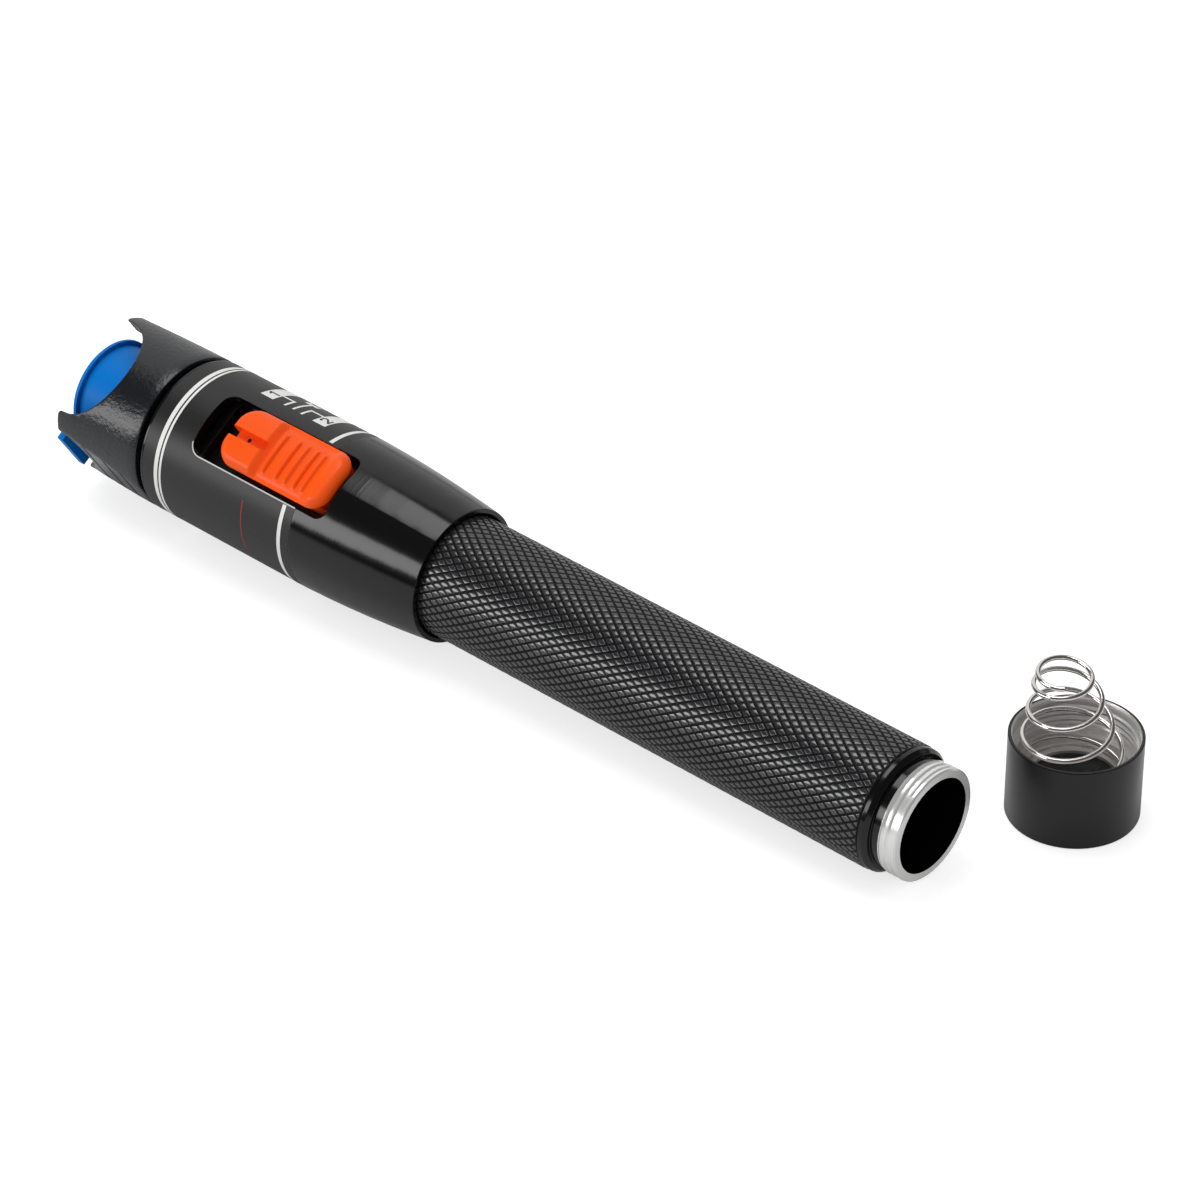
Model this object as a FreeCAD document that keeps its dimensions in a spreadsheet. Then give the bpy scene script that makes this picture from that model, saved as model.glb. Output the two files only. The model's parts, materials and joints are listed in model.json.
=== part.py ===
"""Pen-shaped visual fault locator, lying on its side with its tail cap standing next to it.

Every piece of the pen is drawn upright in the pen's own frame: the origin is the middle of the open
tail end, +Z runs along the axis to the front, and +X points out through the switch window. The tail
cap is drawn upright too, closed end down. The last section lays the pen down and sets the cap beside it.
"""
import FreeCAD, Part
import math
import os

import Sketcher

doc = FreeCAD.newDocument("visual_fault_locator")
sheet = doc.addObject("Spreadsheet::Sheet", "Sizes")


class Size:
    """A number that also knows the expression it comes from, so that features can be bound to it."""

    def __init__(self, value, text):
        self.value = value
        self.text = text

    def _join(self, other, sign, result, swap=False):
        text = other.text if isinstance(other, Size) else repr(other)
        left, right = (text, self.text) if swap else (self.text, text)
        return Size(result, f"({left} {sign} {right})")

    def __add__(self, other):
        return self._join(other, "+", self.value + number(other))

    def __radd__(self, other):
        return self._join(other, "+", self.value + number(other), swap=True)

    def __sub__(self, other):
        return self._join(other, "-", self.value - number(other))

    def __rsub__(self, other):
        return self._join(other, "-", number(other) - self.value, swap=True)

    def __mul__(self, other):
        return self._join(other, "*", self.value * number(other))

    __rmul__ = __mul__

    def __truediv__(self, other):
        return self._join(other, "/", self.value / number(other))

    def __neg__(self):
        return Size(-self.value, f"(-{self.text})")


def number(size):
    return size.value if isinstance(size, Size) else size


def chord(radius, offset):
    """Width across a circle at a distance from its middle."""
    width = 2 * math.sqrt(number(radius) ** 2 - number(offset) ** 2)
    return Size(width, f"(2 * sqrt({radius.text} ^ 2 - {offset.text} ^ 2))")


def bind(feature, **sizes):
    """Bind the named properties of a feature to sizes."""
    for name, size in sizes.items():
        setattr(feature, name, number(size))
        if isinstance(size, Size):
            feature.setExpression(name, size.text)
    return feature


def place(feature, x=0.0, y=0.0, z=0.0, turn=None):
    """Put a primitive at x, y, z, turned by an optional FreeCAD.Rotation."""
    rotation = turn if turn else FreeCAD.Rotation()
    feature.Placement = FreeCAD.Placement(FreeCAD.Vector(number(x), number(y), number(z)), rotation)
    for axis, size in (("x", x), ("y", y), ("z", z)):
        if isinstance(size, Size):
            feature.setExpression(f"Placement.Base.{axis}", size.text)
    return feature


next_row = 1


def cell(alias, value, meaning):
    """Write one driving dimension into the sheet."""
    global next_row
    sheet.set(f"A{next_row}", meaning)
    sheet.set(f"B{next_row}", str(value))
    sheet.setAlias(f"B{next_row}", alias)
    next_row += 1
    return Size(float(value), f"Sizes.{alias}")


# Driving dimensions, in millimetres and degrees
grip_radius = cell("grip_radius", 10.0, "battery tube over the knurl")
bore_radius = cell("bore_radius", 7.65, "battery bore")
battery_length = cell("battery_length", 101.0, "two AA cells end to end")
tube_spare = cell("tube_spare", 1.6, "battery tube beyond the two cells")
thread_radius = cell("thread_radius", 9.0, "tail thread, outside")
thread_length = cell("thread_length", 3.2, "tail thread")
thread_lip = cell("thread_lip", 0.5, "plain lip in front of the tail thread")
neck_radius = cell("neck_radius", 8.75, "neck between thread and grip")
neck_end = cell("neck_end", 4.7, "end of the neck, from the tail")
grip_chamfer = cell("grip_chamfer", 0.7, "chamfer at the tail end of the grip")
fit_gap = cell("fit_gap", 0.05, "clearance of a fixed joint between turned pieces")
running_gap = cell("running_gap", 0.2, "clearance beside moulded pieces that slide")

rim_reach = cell("rim_reach", 10.2, "rear rim of the housing behind the tube's front")
rim_radius = cell("rim_radius", 11.2, "housing at its rear rim")
rim_mouth_gap = cell("rim_mouth_gap", 0.45, "dark gap between rim and grip")
rim_mouth_depth = cell("rim_mouth_depth", 4.0, "depth of that gap")
head_radius = cell("head_radius", 13.05, "housing and bezel over the label")
taper_reach = cell("taper_reach", 14.3, "where the housing reaches its full radius, from the tube's front")
taper_bulge = cell("taper_bulge", 0.3, "how far the taper bows out of a straight cone")
head_reach = cell("head_reach", 47.4, "front shoulder of the housing, from the tube's front")
head_bore = cell("head_bore", 11.2, "inside of the housing")
label_thickness = cell("label_thickness", 0.12, "printed film")
label_margin = cell("label_margin", 0.4, "film to the ends of the full radius")
spigot_radius = cell("spigot_radius", 12.0, "front spigot of the housing")
spigot_length = cell("spigot_length", 5.0, "front spigot of the housing")

window_length = cell("window_length", 28.95, "switch window along the pen")
window_width = cell("window_width", 11.6, "switch window across the pen")
window_corner = cell("window_corner", 2.0, "corner radius of the window")
window_gap = cell("window_gap", 0.35, "window's rear end behind the knob")

knob_length = cell("knob_length", 23.1, "orange knob along the pen")
knob_width = cell("knob_width", 10.7, "orange knob across the pen")
knob_corner = cell("knob_corner", 3.2, "corner radius of the knob")
knob_top = cell("knob_top", 14.4, "crown of the knob, from the pen's axis")
knob_crown = cell("knob_crown", 16.0, "radius of the crown across the pen")
knob_edge = cell("knob_edge", 1.1, "rounding of the knob's top edge")
knob_travel = cell("knob_travel", 4.0, "travel of the knob, two steps of the switch")
notch_width = cell("notch_width", 1.7, "U notch in the knob's front")
notch_length = cell("notch_length", 7.3, "U notch in the knob's front")
notch_depth = cell("notch_depth", 1.6, "U notch in the knob's front")
notch_hole = cell("notch_hole", 0.45, "radius of the moulding hole in the notch")
scoop_length = cell("scoop_length", 12.6, "thumb scoop along the pen")
scoop_width = cell("scoop_width", 8.7, "thumb scoop across the pen")
scoop_depth = cell("scoop_depth", 0.9, "thumb scoop at its middle")
scoop_rear = cell("scoop_rear", 3.45, "from the knob's rear end to the scoop")
ridge_count = 5
ridge_pitch = cell("ridge_pitch", 2.07, "spacing of the ridges in the scoop")
ridge_radius = cell("ridge_radius", 0.45, "half round of a ridge")
ridge_length = cell("ridge_length", 7.5, "ridge across the pen")

carriage_width = cell("carriage_width", 12.6, "shutter under the knob")
carriage_thickness = cell("carriage_thickness", 1.0, "shutter under the knob")
carriage_top = cell("carriage_top", 8.9, "top of the shutter, from the pen's axis")
carriage_rear = cell("carriage_rear", 5.5, "how far the shutter runs behind the knob")
tray_wall = cell("tray_wall", 0.9, "walls of the tray")
tray_floor = cell("tray_floor", 0.8, "floor of the tray")
tray_ledge = cell("tray_ledge", 1.1, "step between the window's front end and the tray's inner wall")
tray_corner = cell("tray_corner", 2.4, "inner corner radius at the tray's front")
tray_rim = cell("tray_rim", 9.85, "top of the tray's front wall, from the pen's axis")
lever_width = cell("lever_width", 1.8, "switch lever, across and along the pen")
lever_height = cell("lever_height", 2.0, "lever above the switch")
switch_gap = cell("switch_gap", 0.4, "between the parts of the electronics")
switch_length = cell("switch_length", 12.0, "slide switch along the pen")
switch_width = cell("switch_width", 4.4, "slide switch across the pen")
switch_height = cell("switch_height", 3.6, "slide switch above the board")
board_thickness = cell("board_thickness", 1.6, "driver board")
board_gap = cell("board_gap", 0.15, "driver board's long edges beside the housing's bore")
lever_back = cell("lever_back", 1.0, "lever's middle behind the middle of its travel")
contact_thickness = cell("contact_thickness", 1.6, "round contact carrier")
contact_recess = cell("contact_recess", 8.2, "recess of the carrier, wider than the bore")
contact_radius = cell("contact_radius", 3.0, "brass contact button")
contact_height = cell("contact_height", 1.0, "brass contact button, as deep as the recess")
chip_length = cell("chip_length", 5.0, "driver chip")
chip_height = cell("chip_height", 1.5, "driver chip")
capacitor_radius = cell("capacitor_radius", 1.5, "capacitor")
capacitor_height = cell("capacitor_height", 2.8, "capacitor")

bezel_groove = cell("bezel_groove", 1.3, "groove between the housing and the bezel")
bezel_wall = cell("bezel_wall", 2.3, "wall of the bezel")
bezel_nose = cell("bezel_nose", 12.45, "bezel near its claw tips")
bezel_length = cell("bezel_length", 17.7, "bezel up to its claw tips")
bezel_straight = cell("bezel_straight", 7.7, "straight part of the bezel")
claw_bevel = cell("claw_bevel", 0.5, "bevel at the claw tips")
valley_radius = cell("valley_radius", 9.0, "round valleys at the two sides of the port")
valley_drop = cell("valley_drop", 0.95, "centre of the round valleys behind the claw tips")
thumb_valley_radius = cell("thumb_valley_radius", 5.3, "valleys at the tab and at the hinge")
thumb_valley_flare = cell("thumb_valley_flare", 0.9, "how far those valleys open towards the tips")
thumb_groove = cell("thumb_groove", 0.6, "width of the grip grooves under the thumb valley")
thumb_groove_depth = cell("thumb_groove_depth", 0.4, "depth of the grip grooves")
thumb_groove_step = cell("thumb_groove_step", 2.8, "spacing of the grip grooves")
thumb_groove_shrink = cell("thumb_groove_shrink", 0.4, "how much smaller each grip groove is than the last")

lid_proud = cell("lid_proud", 1.0, "front face of the dust cap in front of the claw tips")
lid_radius = cell("lid_radius", 9.0, "rim of the dust cap")
lid_rim = cell("lid_rim", 0.9, "thickness of the rim")
lid_skirt = cell("lid_skirt", 8.2, "skirt of the dust cap, outside")
lid_wall = cell("lid_wall", 0.95, "walls of the dust cap")
lid_depth = cell("lid_depth", 8.2, "dust cap from its face to the end of its skirt")
tab_reach = cell("tab_reach", 12.25, "thumb tab, from the pen's axis")
tab_width = cell("tab_width", 8.1, "thumb tab")
tab_thickness = cell("tab_thickness", 1.3, "thumb tab")
hinge_offset = cell("hinge_offset", 10.7, "hinge pin from the pen's axis")
hinge_drop = cell("hinge_drop", 1.6, "hinge pin behind the lid's face")
hinge_barrel = cell("hinge_barrel", 1.15, "knuckles of the hinge")
pin_radius = cell("pin_radius", 0.6, "hinge pin")
pin_gap = cell("pin_gap", 0.06, "running clearance of the hinge pin")
knuckle_width = cell("knuckle_width", 2.2, "lid's knuckle along the pin")
hinge_width = cell("hinge_width", 5.4, "hinge over both ears")
seat_bore = cell("seat_bore", 5.2, "opening of the seat round the port")
seat_flange = cell("seat_flange", 1.3, "flange of the seat under the bezel")
arm_inner = cell("arm_inner", 9.3, "hinge arm's inner face, from the pen's axis")
arm_outer = cell("arm_outer", 10.7, "hinge arm's outer face, from the pen's axis")

port_radius = cell("port_radius", 4.0, "port barrel")
port_flange = cell("port_flange", 5.0, "flange of the port barrel")
port_depth = cell("port_depth", 5.6, "front end of the port behind the dust cap's face")
port_rim = cell("port_rim", 1.0, "thickness of the port's flange")
port_bevel = cell("port_bevel", 0.4, "bevel of the port's front end")
plate_thickness = cell("plate_thickness", 4.0, "bulkhead behind the port's flange")
thread_spare = cell("thread_spare", 1.8, "port barrel behind its nut")
beam_bore = cell("beam_bore", 1.0, "radius of the way through for the beam")
ferrule_radius = cell("ferrule_radius", 1.25, "ferrule that the port takes")
sleeve_wall = cell("sleeve_wall", 0.36, "split sleeve")
sleeve_length = cell("sleeve_length", 11.4, "split sleeve")
sleeve_slit = cell("sleeve_slit", 0.35, "slit of the split sleeve")
sleeve_recess = cell("sleeve_recess", 0.9, "split sleeve behind the port's front end")
port_mouth = cell("port_mouth", 1.45, "opening in the port's front end")
nut_across = cell("nut_across", 10.0, "port nut, across its flats")
nut_height = cell("nut_height", 2.2, "port nut")
holder_radius = cell("holder_radius", 5.0, "laser holder")
holder_length = cell("holder_length", 8.4, "laser holder")
holder_wall = cell("holder_wall", 1.6, "front wall of the laser holder")
lens_radius = cell("lens_radius", 3.0, "collimating lens")
lens_thickness = cell("lens_thickness", 2.0, "collimating lens")
diode_radius = cell("diode_radius", 2.8, "laser diode can")
diode_length = cell("diode_length", 2.6, "laser diode can")
lead_radius = cell("lead_radius", 0.22, "lead of the diode")
lead_circle = cell("lead_circle", 1.27, "circle of the diode's leads")
lead_length = cell("lead_length", 6.0, "leads behind the can")

cap_radius = cell("cap_radius", 10.1, "tail cap, outside")
cap_height = cell("cap_height", 13.7, "tail cap")
cap_thread = cell("cap_thread", 9.1, "inside of the tail cap at its thread")
cap_thread_depth = cell("cap_thread_depth", 6.2, "depth of the tail cap's thread")
cap_well = cell("cap_well", 8.5, "inside of the tail cap below its thread")
cap_floor = cell("cap_floor", 5.5, "floor of the tail cap")
cap_mouth_bevel = cell("cap_mouth_bevel", 0.45, "inner bevel of the cap's mouth")
cap_edge = cell("cap_edge", 0.3, "edge round of the closed end")
spring_wire = cell("spring_wire", 0.4, "wire of the spring, radius")
spring_height = cell("spring_height", 19.7, "spring above the cap's floor")
spring_base = cell("spring_base", 8.0, "widest turn, outside")
spring_tip = cell("spring_tip", 4.25, "narrowest turn, outside")
spring_lean = cell("spring_lean", 2.45, "how far the spring's top stands off its base")
spring_end = cell("spring_end", -93.0, "where the wire ends at the top, degrees from the lean")
spring_dip = cell("spring_dip", 7.0, "tilt of the spring's turns, degrees")
base_turns, cone_turns, tip_turns = 1.1, 3.84, 1.0
wide_turns, narrowing_turns = 2.19, 3.15
sections_per_turn, wire_sides = 16, 8

slot_roll = cell("slot_roll", 32.5, "roll of the window from straight up, degrees")
cap_aside = cell("cap_aside", 27.5, "tail cap beside the pen's tail")
cap_ahead = cell("cap_ahead", 4.95, "tail cap past the pen's tail")
cap_turn = cell("cap_turn", 41.5, "turn of the cap about its axis, degrees")

doc.recompute()

# Stations along the pen, from the tail: the head is measured from the front of the battery tube
tube_front = battery_length + tube_spare
rim_station = tube_front - rim_reach
taper_station = tube_front + taper_reach
head_station = tube_front + head_reach
label_rear = taper_station + label_margin
label_front = head_station - label_margin
carrier_front = tube_front + contact_height + contact_thickness
tray_rear = carrier_front + running_gap
tray_back = tray_rear + tray_wall
shutter_rear = tray_back + running_gap
knob_rear = shutter_rear + carriage_rear
knob_front = knob_rear + knob_length
window_rear = knob_rear - window_gap
window_front = window_rear + window_length
tray_front = window_front - tray_ledge
bezel_rear = head_station + bezel_groove
bezel_bend = bezel_rear + bezel_straight
bezel_tip = bezel_rear + bezel_length
valley_station = bezel_tip - valley_drop
lid_station = bezel_tip + lid_proud
port_front = lid_station - port_depth

XY, XZ, YZ = "XY_Plane", "XZ_Plane", "YZ_Plane"
LEFT_TO_RIGHT = FreeCAD.Rotation(FreeCAD.Vector(0, 1, 0), 90)
FRONT_TO_BACK = FreeCAD.Rotation(FreeCAD.Vector(1, 0, 0), -90)
sub_parts = {}


def sketch_on(body, plane, name):
    sketch = body.newObject("Sketcher::SketchObject", name)
    planes = [feature for feature in body.Origin.OriginFeatures if feature.Role == plane]
    sketch.AttachmentSupport = [(planes[0], "")]
    sketch.MapMode = "FlatFace"
    return sketch


def pin_point(sketch, geometry, point, across, along):
    """Hold one point of a sketch at its two distances from the origin."""
    for kind, axis, size in (("DistanceX", -2, across), ("DistanceY", -1, along)):
        if number(size) == 0:
            sketch.addConstraint(Sketcher.Constraint("PointOnObject", geometry, point, axis))
            continue
        index = sketch.addConstraint(Sketcher.Constraint(kind, -1, 1, geometry, point, number(size)))
        if isinstance(size, Size):
            sketch.setExpression(f"Constraints[{index}]", size.text)


def draw_outline(sketch, corners):
    """Close a straight-sided outline through the corners."""
    points = [FreeCAD.Vector(number(across), number(along), 0) for across, along in corners]
    first = sketch.GeometryCount
    for start, end in zip(points, points[1:] + points[:1]):
        sketch.addGeometry(Part.LineSegment(start, end), False)
    for index, (across, along) in enumerate(corners):
        before = first + (index - 1) % len(corners)
        sketch.addConstraint(Sketcher.Constraint("Coincident", before, 2, first + index, 1))
        pin_point(sketch, first + index, 1, across, along)


def draw_circle(sketch, across, along, radius):
    centre = FreeCAD.Vector(number(across), number(along), 0)
    circle = Part.Circle(centre, FreeCAD.Vector(0, 0, 1), number(radius))
    index = sketch.addGeometry(circle, False)
    pin_point(sketch, index, 3, across, along)
    constraint = sketch.addConstraint(Sketcher.Constraint("Radius", index, number(radius)))
    if isinstance(radius, Size):
        sketch.setExpression(f"Constraints[{constraint}]", radius.text)


def new_body(name):
    body = doc.addObject("PartDesign::Body", name)
    doc.recompute()
    return body


def turned(name, outline):
    """Body of revolution about Z from a closed outline of (radius, height) corners."""
    body = new_body(name)
    sketch = sketch_on(body, XZ, name + "_section")
    draw_outline(sketch, outline)
    turn = body.newObject("PartDesign::Revolution", name + "_turn")
    turn.Profile = sketch
    turn.ReferenceAxis = (sketch, ["V_Axis"])
    turn.Angle = 360
    doc.recompute()
    return body


def tube(name, inner, outer, low, high):
    return turned(name, [(inner, low), (outer, low), (outer, high), (inner, high)])


def through_cut(body, plane, name, draw):
    """Cut a sketch right through a body, both ways from its own plane."""
    before = body.Shape.Volume
    sketch = sketch_on(body, plane, name + "_sketch")
    draw(sketch)
    pocket = body.newObject("PartDesign::Pocket", name)
    pocket.Profile = sketch
    pocket.Type = "ThroughAll"
    pocket.SideType = "Symmetric"
    doc.recompute()
    check_less(body, before, name)
    return pocket


def one_way_cut(body, plane, name, draw, reversed_way, depth):
    """Cut a sketch from its own plane to one side only, as deep as given."""
    before = body.Shape.Volume
    sketch = sketch_on(body, plane, name + "_sketch")
    draw(sketch)
    pocket = body.newObject("PartDesign::Pocket", name)
    pocket.Profile = sketch
    pocket.Reversed = reversed_way
    bind(pocket, Length=depth)
    doc.recompute()
    check_less(body, before, name)
    return pocket


def check_less(body, before, name):
    if not body.Shape.Volume < before - 1e-6:
        raise RuntimeError(name + " cuts nothing")


def round_edges(body, name, radius, wanted, kind="PartDesign::Fillet"):
    """Round or bevel the edges of a body for which wanted(edge) is true."""
    edges = [f"Edge{i}" for i, edge in enumerate(body.Shape.Edges, 1) if wanted(edge)]
    carrier = body.Tip
    feature = body.newObject(kind, name)
    feature.Base = (carrier, edges)
    bind(feature, **{"Radius" if kind.endswith("Fillet") else "Size": radius})
    doc.recompute()
    return feature


def box(name, length, width, height, x, y, z):
    return place(bind(doc.addObject("Part::Box", name), Length=length, Width=width, Height=height), x, y, z)


def rod(name, radius, length, x=0.0, y=0.0, z=0.0, turn=None):
    return place(bind(doc.addObject("Part::Cylinder", name), Radius=radius, Height=length), x, y, z, turn)


def cut(name, base, tool):
    result = doc.addObject("Part::Cut", name)
    result.Base = base
    result.Tool = tool
    return result


def fused(name, *pieces):
    result = doc.addObject("Part::MultiFuse", name)
    result.Shapes = list(pieces)
    result.Refine = True
    return result


def common(name, base, tool):
    result = doc.addObject("Part::Common", name)
    result.Base = base
    result.Tool = tool
    return result


def keep(label, feature):
    """Take a finished feature as the sub-part of this name, in a group that carries its placement."""
    group = doc.addObject("Part::Compound", "part_" + label)
    group.Links = [feature]
    group.Label = label
    sub_parts[label] = group


def draw_rounded(sketch, half_width, low, high, corner):
    """Rectangle with rounded corners, the same to both sides of the sketch's upright axis."""
    right, left = half_width - corner, -half_width + corner
    centres = [(right, low + corner), (right, high - corner), (left, high - corner), (left, low + corner)]
    for quarter, (across, along) in enumerate(centres):
        middle = FreeCAD.Vector(number(across), number(along), 0)
        circle = Part.Circle(middle, FreeCAD.Vector(0, 0, 1), number(corner))
        start = (quarter - 1) * math.pi / 2
        arc = Part.ArcOfCircle(circle, start, start + math.pi / 2)
        next_middle = FreeCAD.Vector(*(number(size) for size in centres[(quarter + 1) % 4]), 0)
        sketch.addGeometry(arc, False)
        sketch.addGeometry(Part.LineSegment(arc.EndPoint, arc.EndPoint + next_middle - middle), False)
        pin_point(sketch, quarter * 2, 3, across, along)
        radius = sketch.addConstraint(Sketcher.Constraint("Radius", quarter * 2, number(corner)))
        sketch.setExpression(f"Constraints[{radius}]", corner.text)
    for index in range(8):
        sketch.addConstraint(Sketcher.Constraint("Tangent", index, 2, (index + 1) % 8, 1))


def is_upright(edge):
    """True for a straight edge that runs along X, the way out through the window."""
    ends = [vertex.Point for vertex in edge.Vertexes]
    if len(ends) != 2:
        return False
    run = ends[1] - ends[0]
    return abs(run.x) > 1e-3 and abs(run.y) < 1e-6 and abs(run.z) < 1e-6


# Battery tube: one piece of turned aluminium, open at the tail, seated in the housing at its front
tube_body = turned("tube", [
    (bore_radius, 0),
    (thread_radius - thread_lip / 2, 0),
    (thread_radius, thread_lip / 2),
    (thread_radius, thread_length),
    (neck_radius, thread_length),
    (neck_radius, neck_end),
    (grip_radius - grip_chamfer, neck_end),
    (grip_radius, neck_end + grip_chamfer),
    (grip_radius, tube_front),
    (bore_radius, tube_front),
])
keep("battery_tube", tube_body)

# Housing: tapered shell that grips the tube at its rear and ends in a spigot for the bezel
seat_radius = grip_radius + fit_gap
shell_radius = head_radius - label_thickness
taper = []
for step in range(7):
    share = step / 6
    taper.append((
        rim_radius + (head_radius - rim_radius) * share + taper_bulge * (4 * share * (1 - share)),
        rim_station + (taper_station - rim_station) * share,
    ))
seat_end = carrier_front + fit_gap
spigot_front = head_station + spigot_length
housing = turned("shell", [
    (grip_radius + rim_mouth_gap, rim_station),
    *taper,
    (head_radius, label_rear),
    (shell_radius, label_rear),
    (shell_radius, label_front),
    (head_radius, label_front),
    (head_radius, head_station),
    (spigot_radius, head_station),
    (spigot_radius, spigot_front),
    (head_bore, spigot_front),
    (head_bore, seat_end),
    (seat_radius, seat_end),
    (seat_radius, rim_station + rim_mouth_depth),
    (grip_radius + rim_mouth_gap, rim_station + rim_mouth_depth),
])


def window_outline(sketch):
    draw_rounded(sketch, window_width / 2, window_rear, window_front, window_corner)


one_way_cut(housing, YZ, "window", window_outline, True, head_radius * 2)
keep("housing", housing)

# Label: printed film wrapped round the housing, flush with its full radius
label = tube("film", shell_radius, head_radius, label_rear, label_front)
one_way_cut(label, YZ, "film_window", window_outline, True, head_radius * 2)
keep("label_wrap", label)

# Bezel: painted front ring, cross-drilled from two sides so that four claws stay
seat_shoulder = spigot_front + seat_flange
bezel_inner = head_radius - bezel_wall
bezel = turned("ring", [
    (spigot_radius + fit_gap, bezel_rear),
    (head_radius, bezel_rear),
    (head_radius, bezel_bend),
    (bezel_nose, bezel_tip - claw_bevel),
    (bezel_nose - claw_bevel, bezel_tip),
    (bezel_inner, bezel_tip),
    (bezel_inner, seat_shoulder),
    (spigot_radius + fit_gap, seat_shoulder),
])
through_cut(bezel, YZ, "side_valleys", lambda sketch: draw_circle(sketch, 0, valley_station, valley_radius))
thumb_bottom = valley_station - valley_radius
thumb_centre = thumb_bottom + thumb_valley_radius
through_cut(bezel, XZ, "thumb_valleys",
            lambda sketch: draw_circle(sketch, 0, thumb_centre, thumb_valley_radius))
through_cut(bezel, XZ, "thumb_valley_sides", lambda sketch: draw_outline(sketch, [
    (-thumb_valley_radius, thumb_centre),
    (thumb_valley_radius, thumb_centre),
    (thumb_valley_radius + thumb_valley_flare, bezel_tip + claw_bevel),
    (-thumb_valley_radius - thumb_valley_flare, bezel_tip + claw_bevel),
]))
grooves = []
for index in (1, 2):
    middle_radius = thumb_valley_radius - thumb_groove_shrink * index
    centre = thumb_bottom - thumb_groove_step * index + middle_radius
    outer = rod(f"groove_outer_{index}", middle_radius + thumb_groove / 2, head_radius * 2,
                y=-head_radius * 2, z=centre, turn=FRONT_TO_BACK)
    inner = rod(f"groove_inner_{index}", middle_radius - thumb_groove / 2, head_radius * 2,
                y=-head_radius * 2, z=centre, turn=FRONT_TO_BACK)
    below = box(f"groove_below_{index}", head_radius * 2, head_radius * 2, middle_radius,
                -head_radius, -head_radius * 2, centre - middle_radius * 1.2)
    grooves.append(common(f"groove_{index}", cut(f"groove_ring_{index}", outer, inner), below))
groove_core = rod("groove_core", head_radius - thumb_groove_depth, bezel_tip)
keep("bezel", cut("grooved_bezel", bezel, cut("groove_cutter", fused("groove_pair", *grooves), groove_core)))

# Switch knob: orange moulding with a crowned top, a U notch in front and a ridged scoop for the thumb
def crowned_section(sketch):
    """Section of the knob across the pen: flat foot, straight sides, arched crown."""
    half, centre = knob_width / 2, knob_top - knob_crown
    side = math.sqrt(number(knob_crown) ** 2 - number(half) ** 2) + number(centre)
    foot, low, high = number(carriage_top), -number(half), number(half)
    corner_points = [(side, low), (foot, low), (foot, high), (side, high)]
    points = [FreeCAD.Vector(across, along, 0) for across, along in corner_points]
    for start, end in zip(points, points[1:]):
        sketch.addGeometry(Part.LineSegment(start, end), False)
    swing = math.asin(number(half) / number(knob_crown))
    circle = Part.Circle(FreeCAD.Vector(number(centre), 0, 0), FreeCAD.Vector(0, 0, 1), number(knob_crown))
    sketch.addGeometry(Part.ArcOfCircle(circle, -swing, swing), False)
    for first, first_point, second, second_point in ((0, 2, 1, 1), (1, 2, 2, 1), (2, 2, 3, 2), (3, 1, 0, 1)):
        sketch.addConstraint(Sketcher.Constraint("Coincident", first, first_point, second, second_point))
    sketch.addConstraint(Sketcher.Constraint("Horizontal", 0))
    sketch.addConstraint(Sketcher.Constraint("Horizontal", 2))
    pin_point(sketch, 1, 1, carriage_top, -half)
    pin_point(sketch, 1, 2, carriage_top, half)
    pin_point(sketch, 3, 3, centre, 0)
    radius = sketch.addConstraint(Sketcher.Constraint("Radius", 3, number(knob_crown)))
    sketch.setExpression(f"Constraints[{radius}]", knob_crown.text)


knob_body = new_body("knob_block")
knob_sketch = sketch_on(knob_body, XY, "knob_section")
crowned_section(knob_sketch)
knob_sketch.setExpression("AttachmentOffset.Base.z", knob_rear.text)
knob_pad = knob_body.newObject("PartDesign::Pad", "knob_pad")
knob_pad.Profile = knob_sketch
bind(knob_pad, Length=knob_length)
doc.recompute()
round_edges(knob_body, "knob_corners", knob_corner, is_upright)


def on_knob_top(edge):
    """True for the outline of the crown, not for the upright edges below it."""
    lowest = min(vertex.Point.x for vertex in edge.Vertexes)
    return lowest > number(carriage_top + carriage_thickness)


round_edges(knob_body, "knob_top_round", knob_edge, on_knob_top)
one_way_cut(knob_body, YZ, "knob_notch", lambda sketch: draw_outline(sketch, [
    (-notch_width / 2, knob_front - notch_length),
    (notch_width / 2, knob_front - notch_length),
    (notch_width / 2, knob_front + notch_width),
    (-notch_width / 2, knob_front + notch_width),
]), True, knob_top * 2)
notch_floor = box("notch_floor", knob_top - notch_depth - carriage_top, notch_width, notch_length - knob_edge,
                  carriage_top, -notch_width / 2, knob_front - notch_length)
notch_drill = rod("notch_drill", notch_hole, knob_top, x=carriage_top,
                  z=knob_front - notch_length / 2, turn=LEFT_TO_RIGHT)
scoop_radius = (scoop_length * scoop_length / 4 + scoop_depth * scoop_depth) / (scoop_depth * 2)
scoop_middle = knob_rear + scoop_rear + scoop_length / 2
scoop_bottom = knob_top - scoop_depth
scoop_disc = turned("scoop_disc", [
    (0, -scoop_width / 2),
    (scoop_radius - scoop_depth, -scoop_width / 2),
    (scoop_radius, -scoop_width / 2 + scoop_depth),
    (scoop_radius, scoop_width / 2 - scoop_depth),
    (scoop_radius - scoop_depth, scoop_width / 2),
    (0, scoop_width / 2),
])
place(scoop_disc, x=scoop_bottom + scoop_radius, z=scoop_middle, turn=FRONT_TO_BACK)
ridges = []
for index in range(ridge_count):
    away = (index - (ridge_count - 1) / 2) * ridge_pitch
    rise = (away * away) / (scoop_radius * 2)
    ridge = rod(f"ridge_{index + 1}", ridge_radius, ridge_length, x=scoop_bottom + rise,
                y=-ridge_length / 2, z=scoop_middle + away, turn=FRONT_TO_BACK)
    ridges.append(ridge)
knob_hollowed = cut("knob_hollowed", fused("knob_with_floor", knob_body, cut("floor", notch_floor, notch_drill)),
                    scoop_disc)
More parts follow.
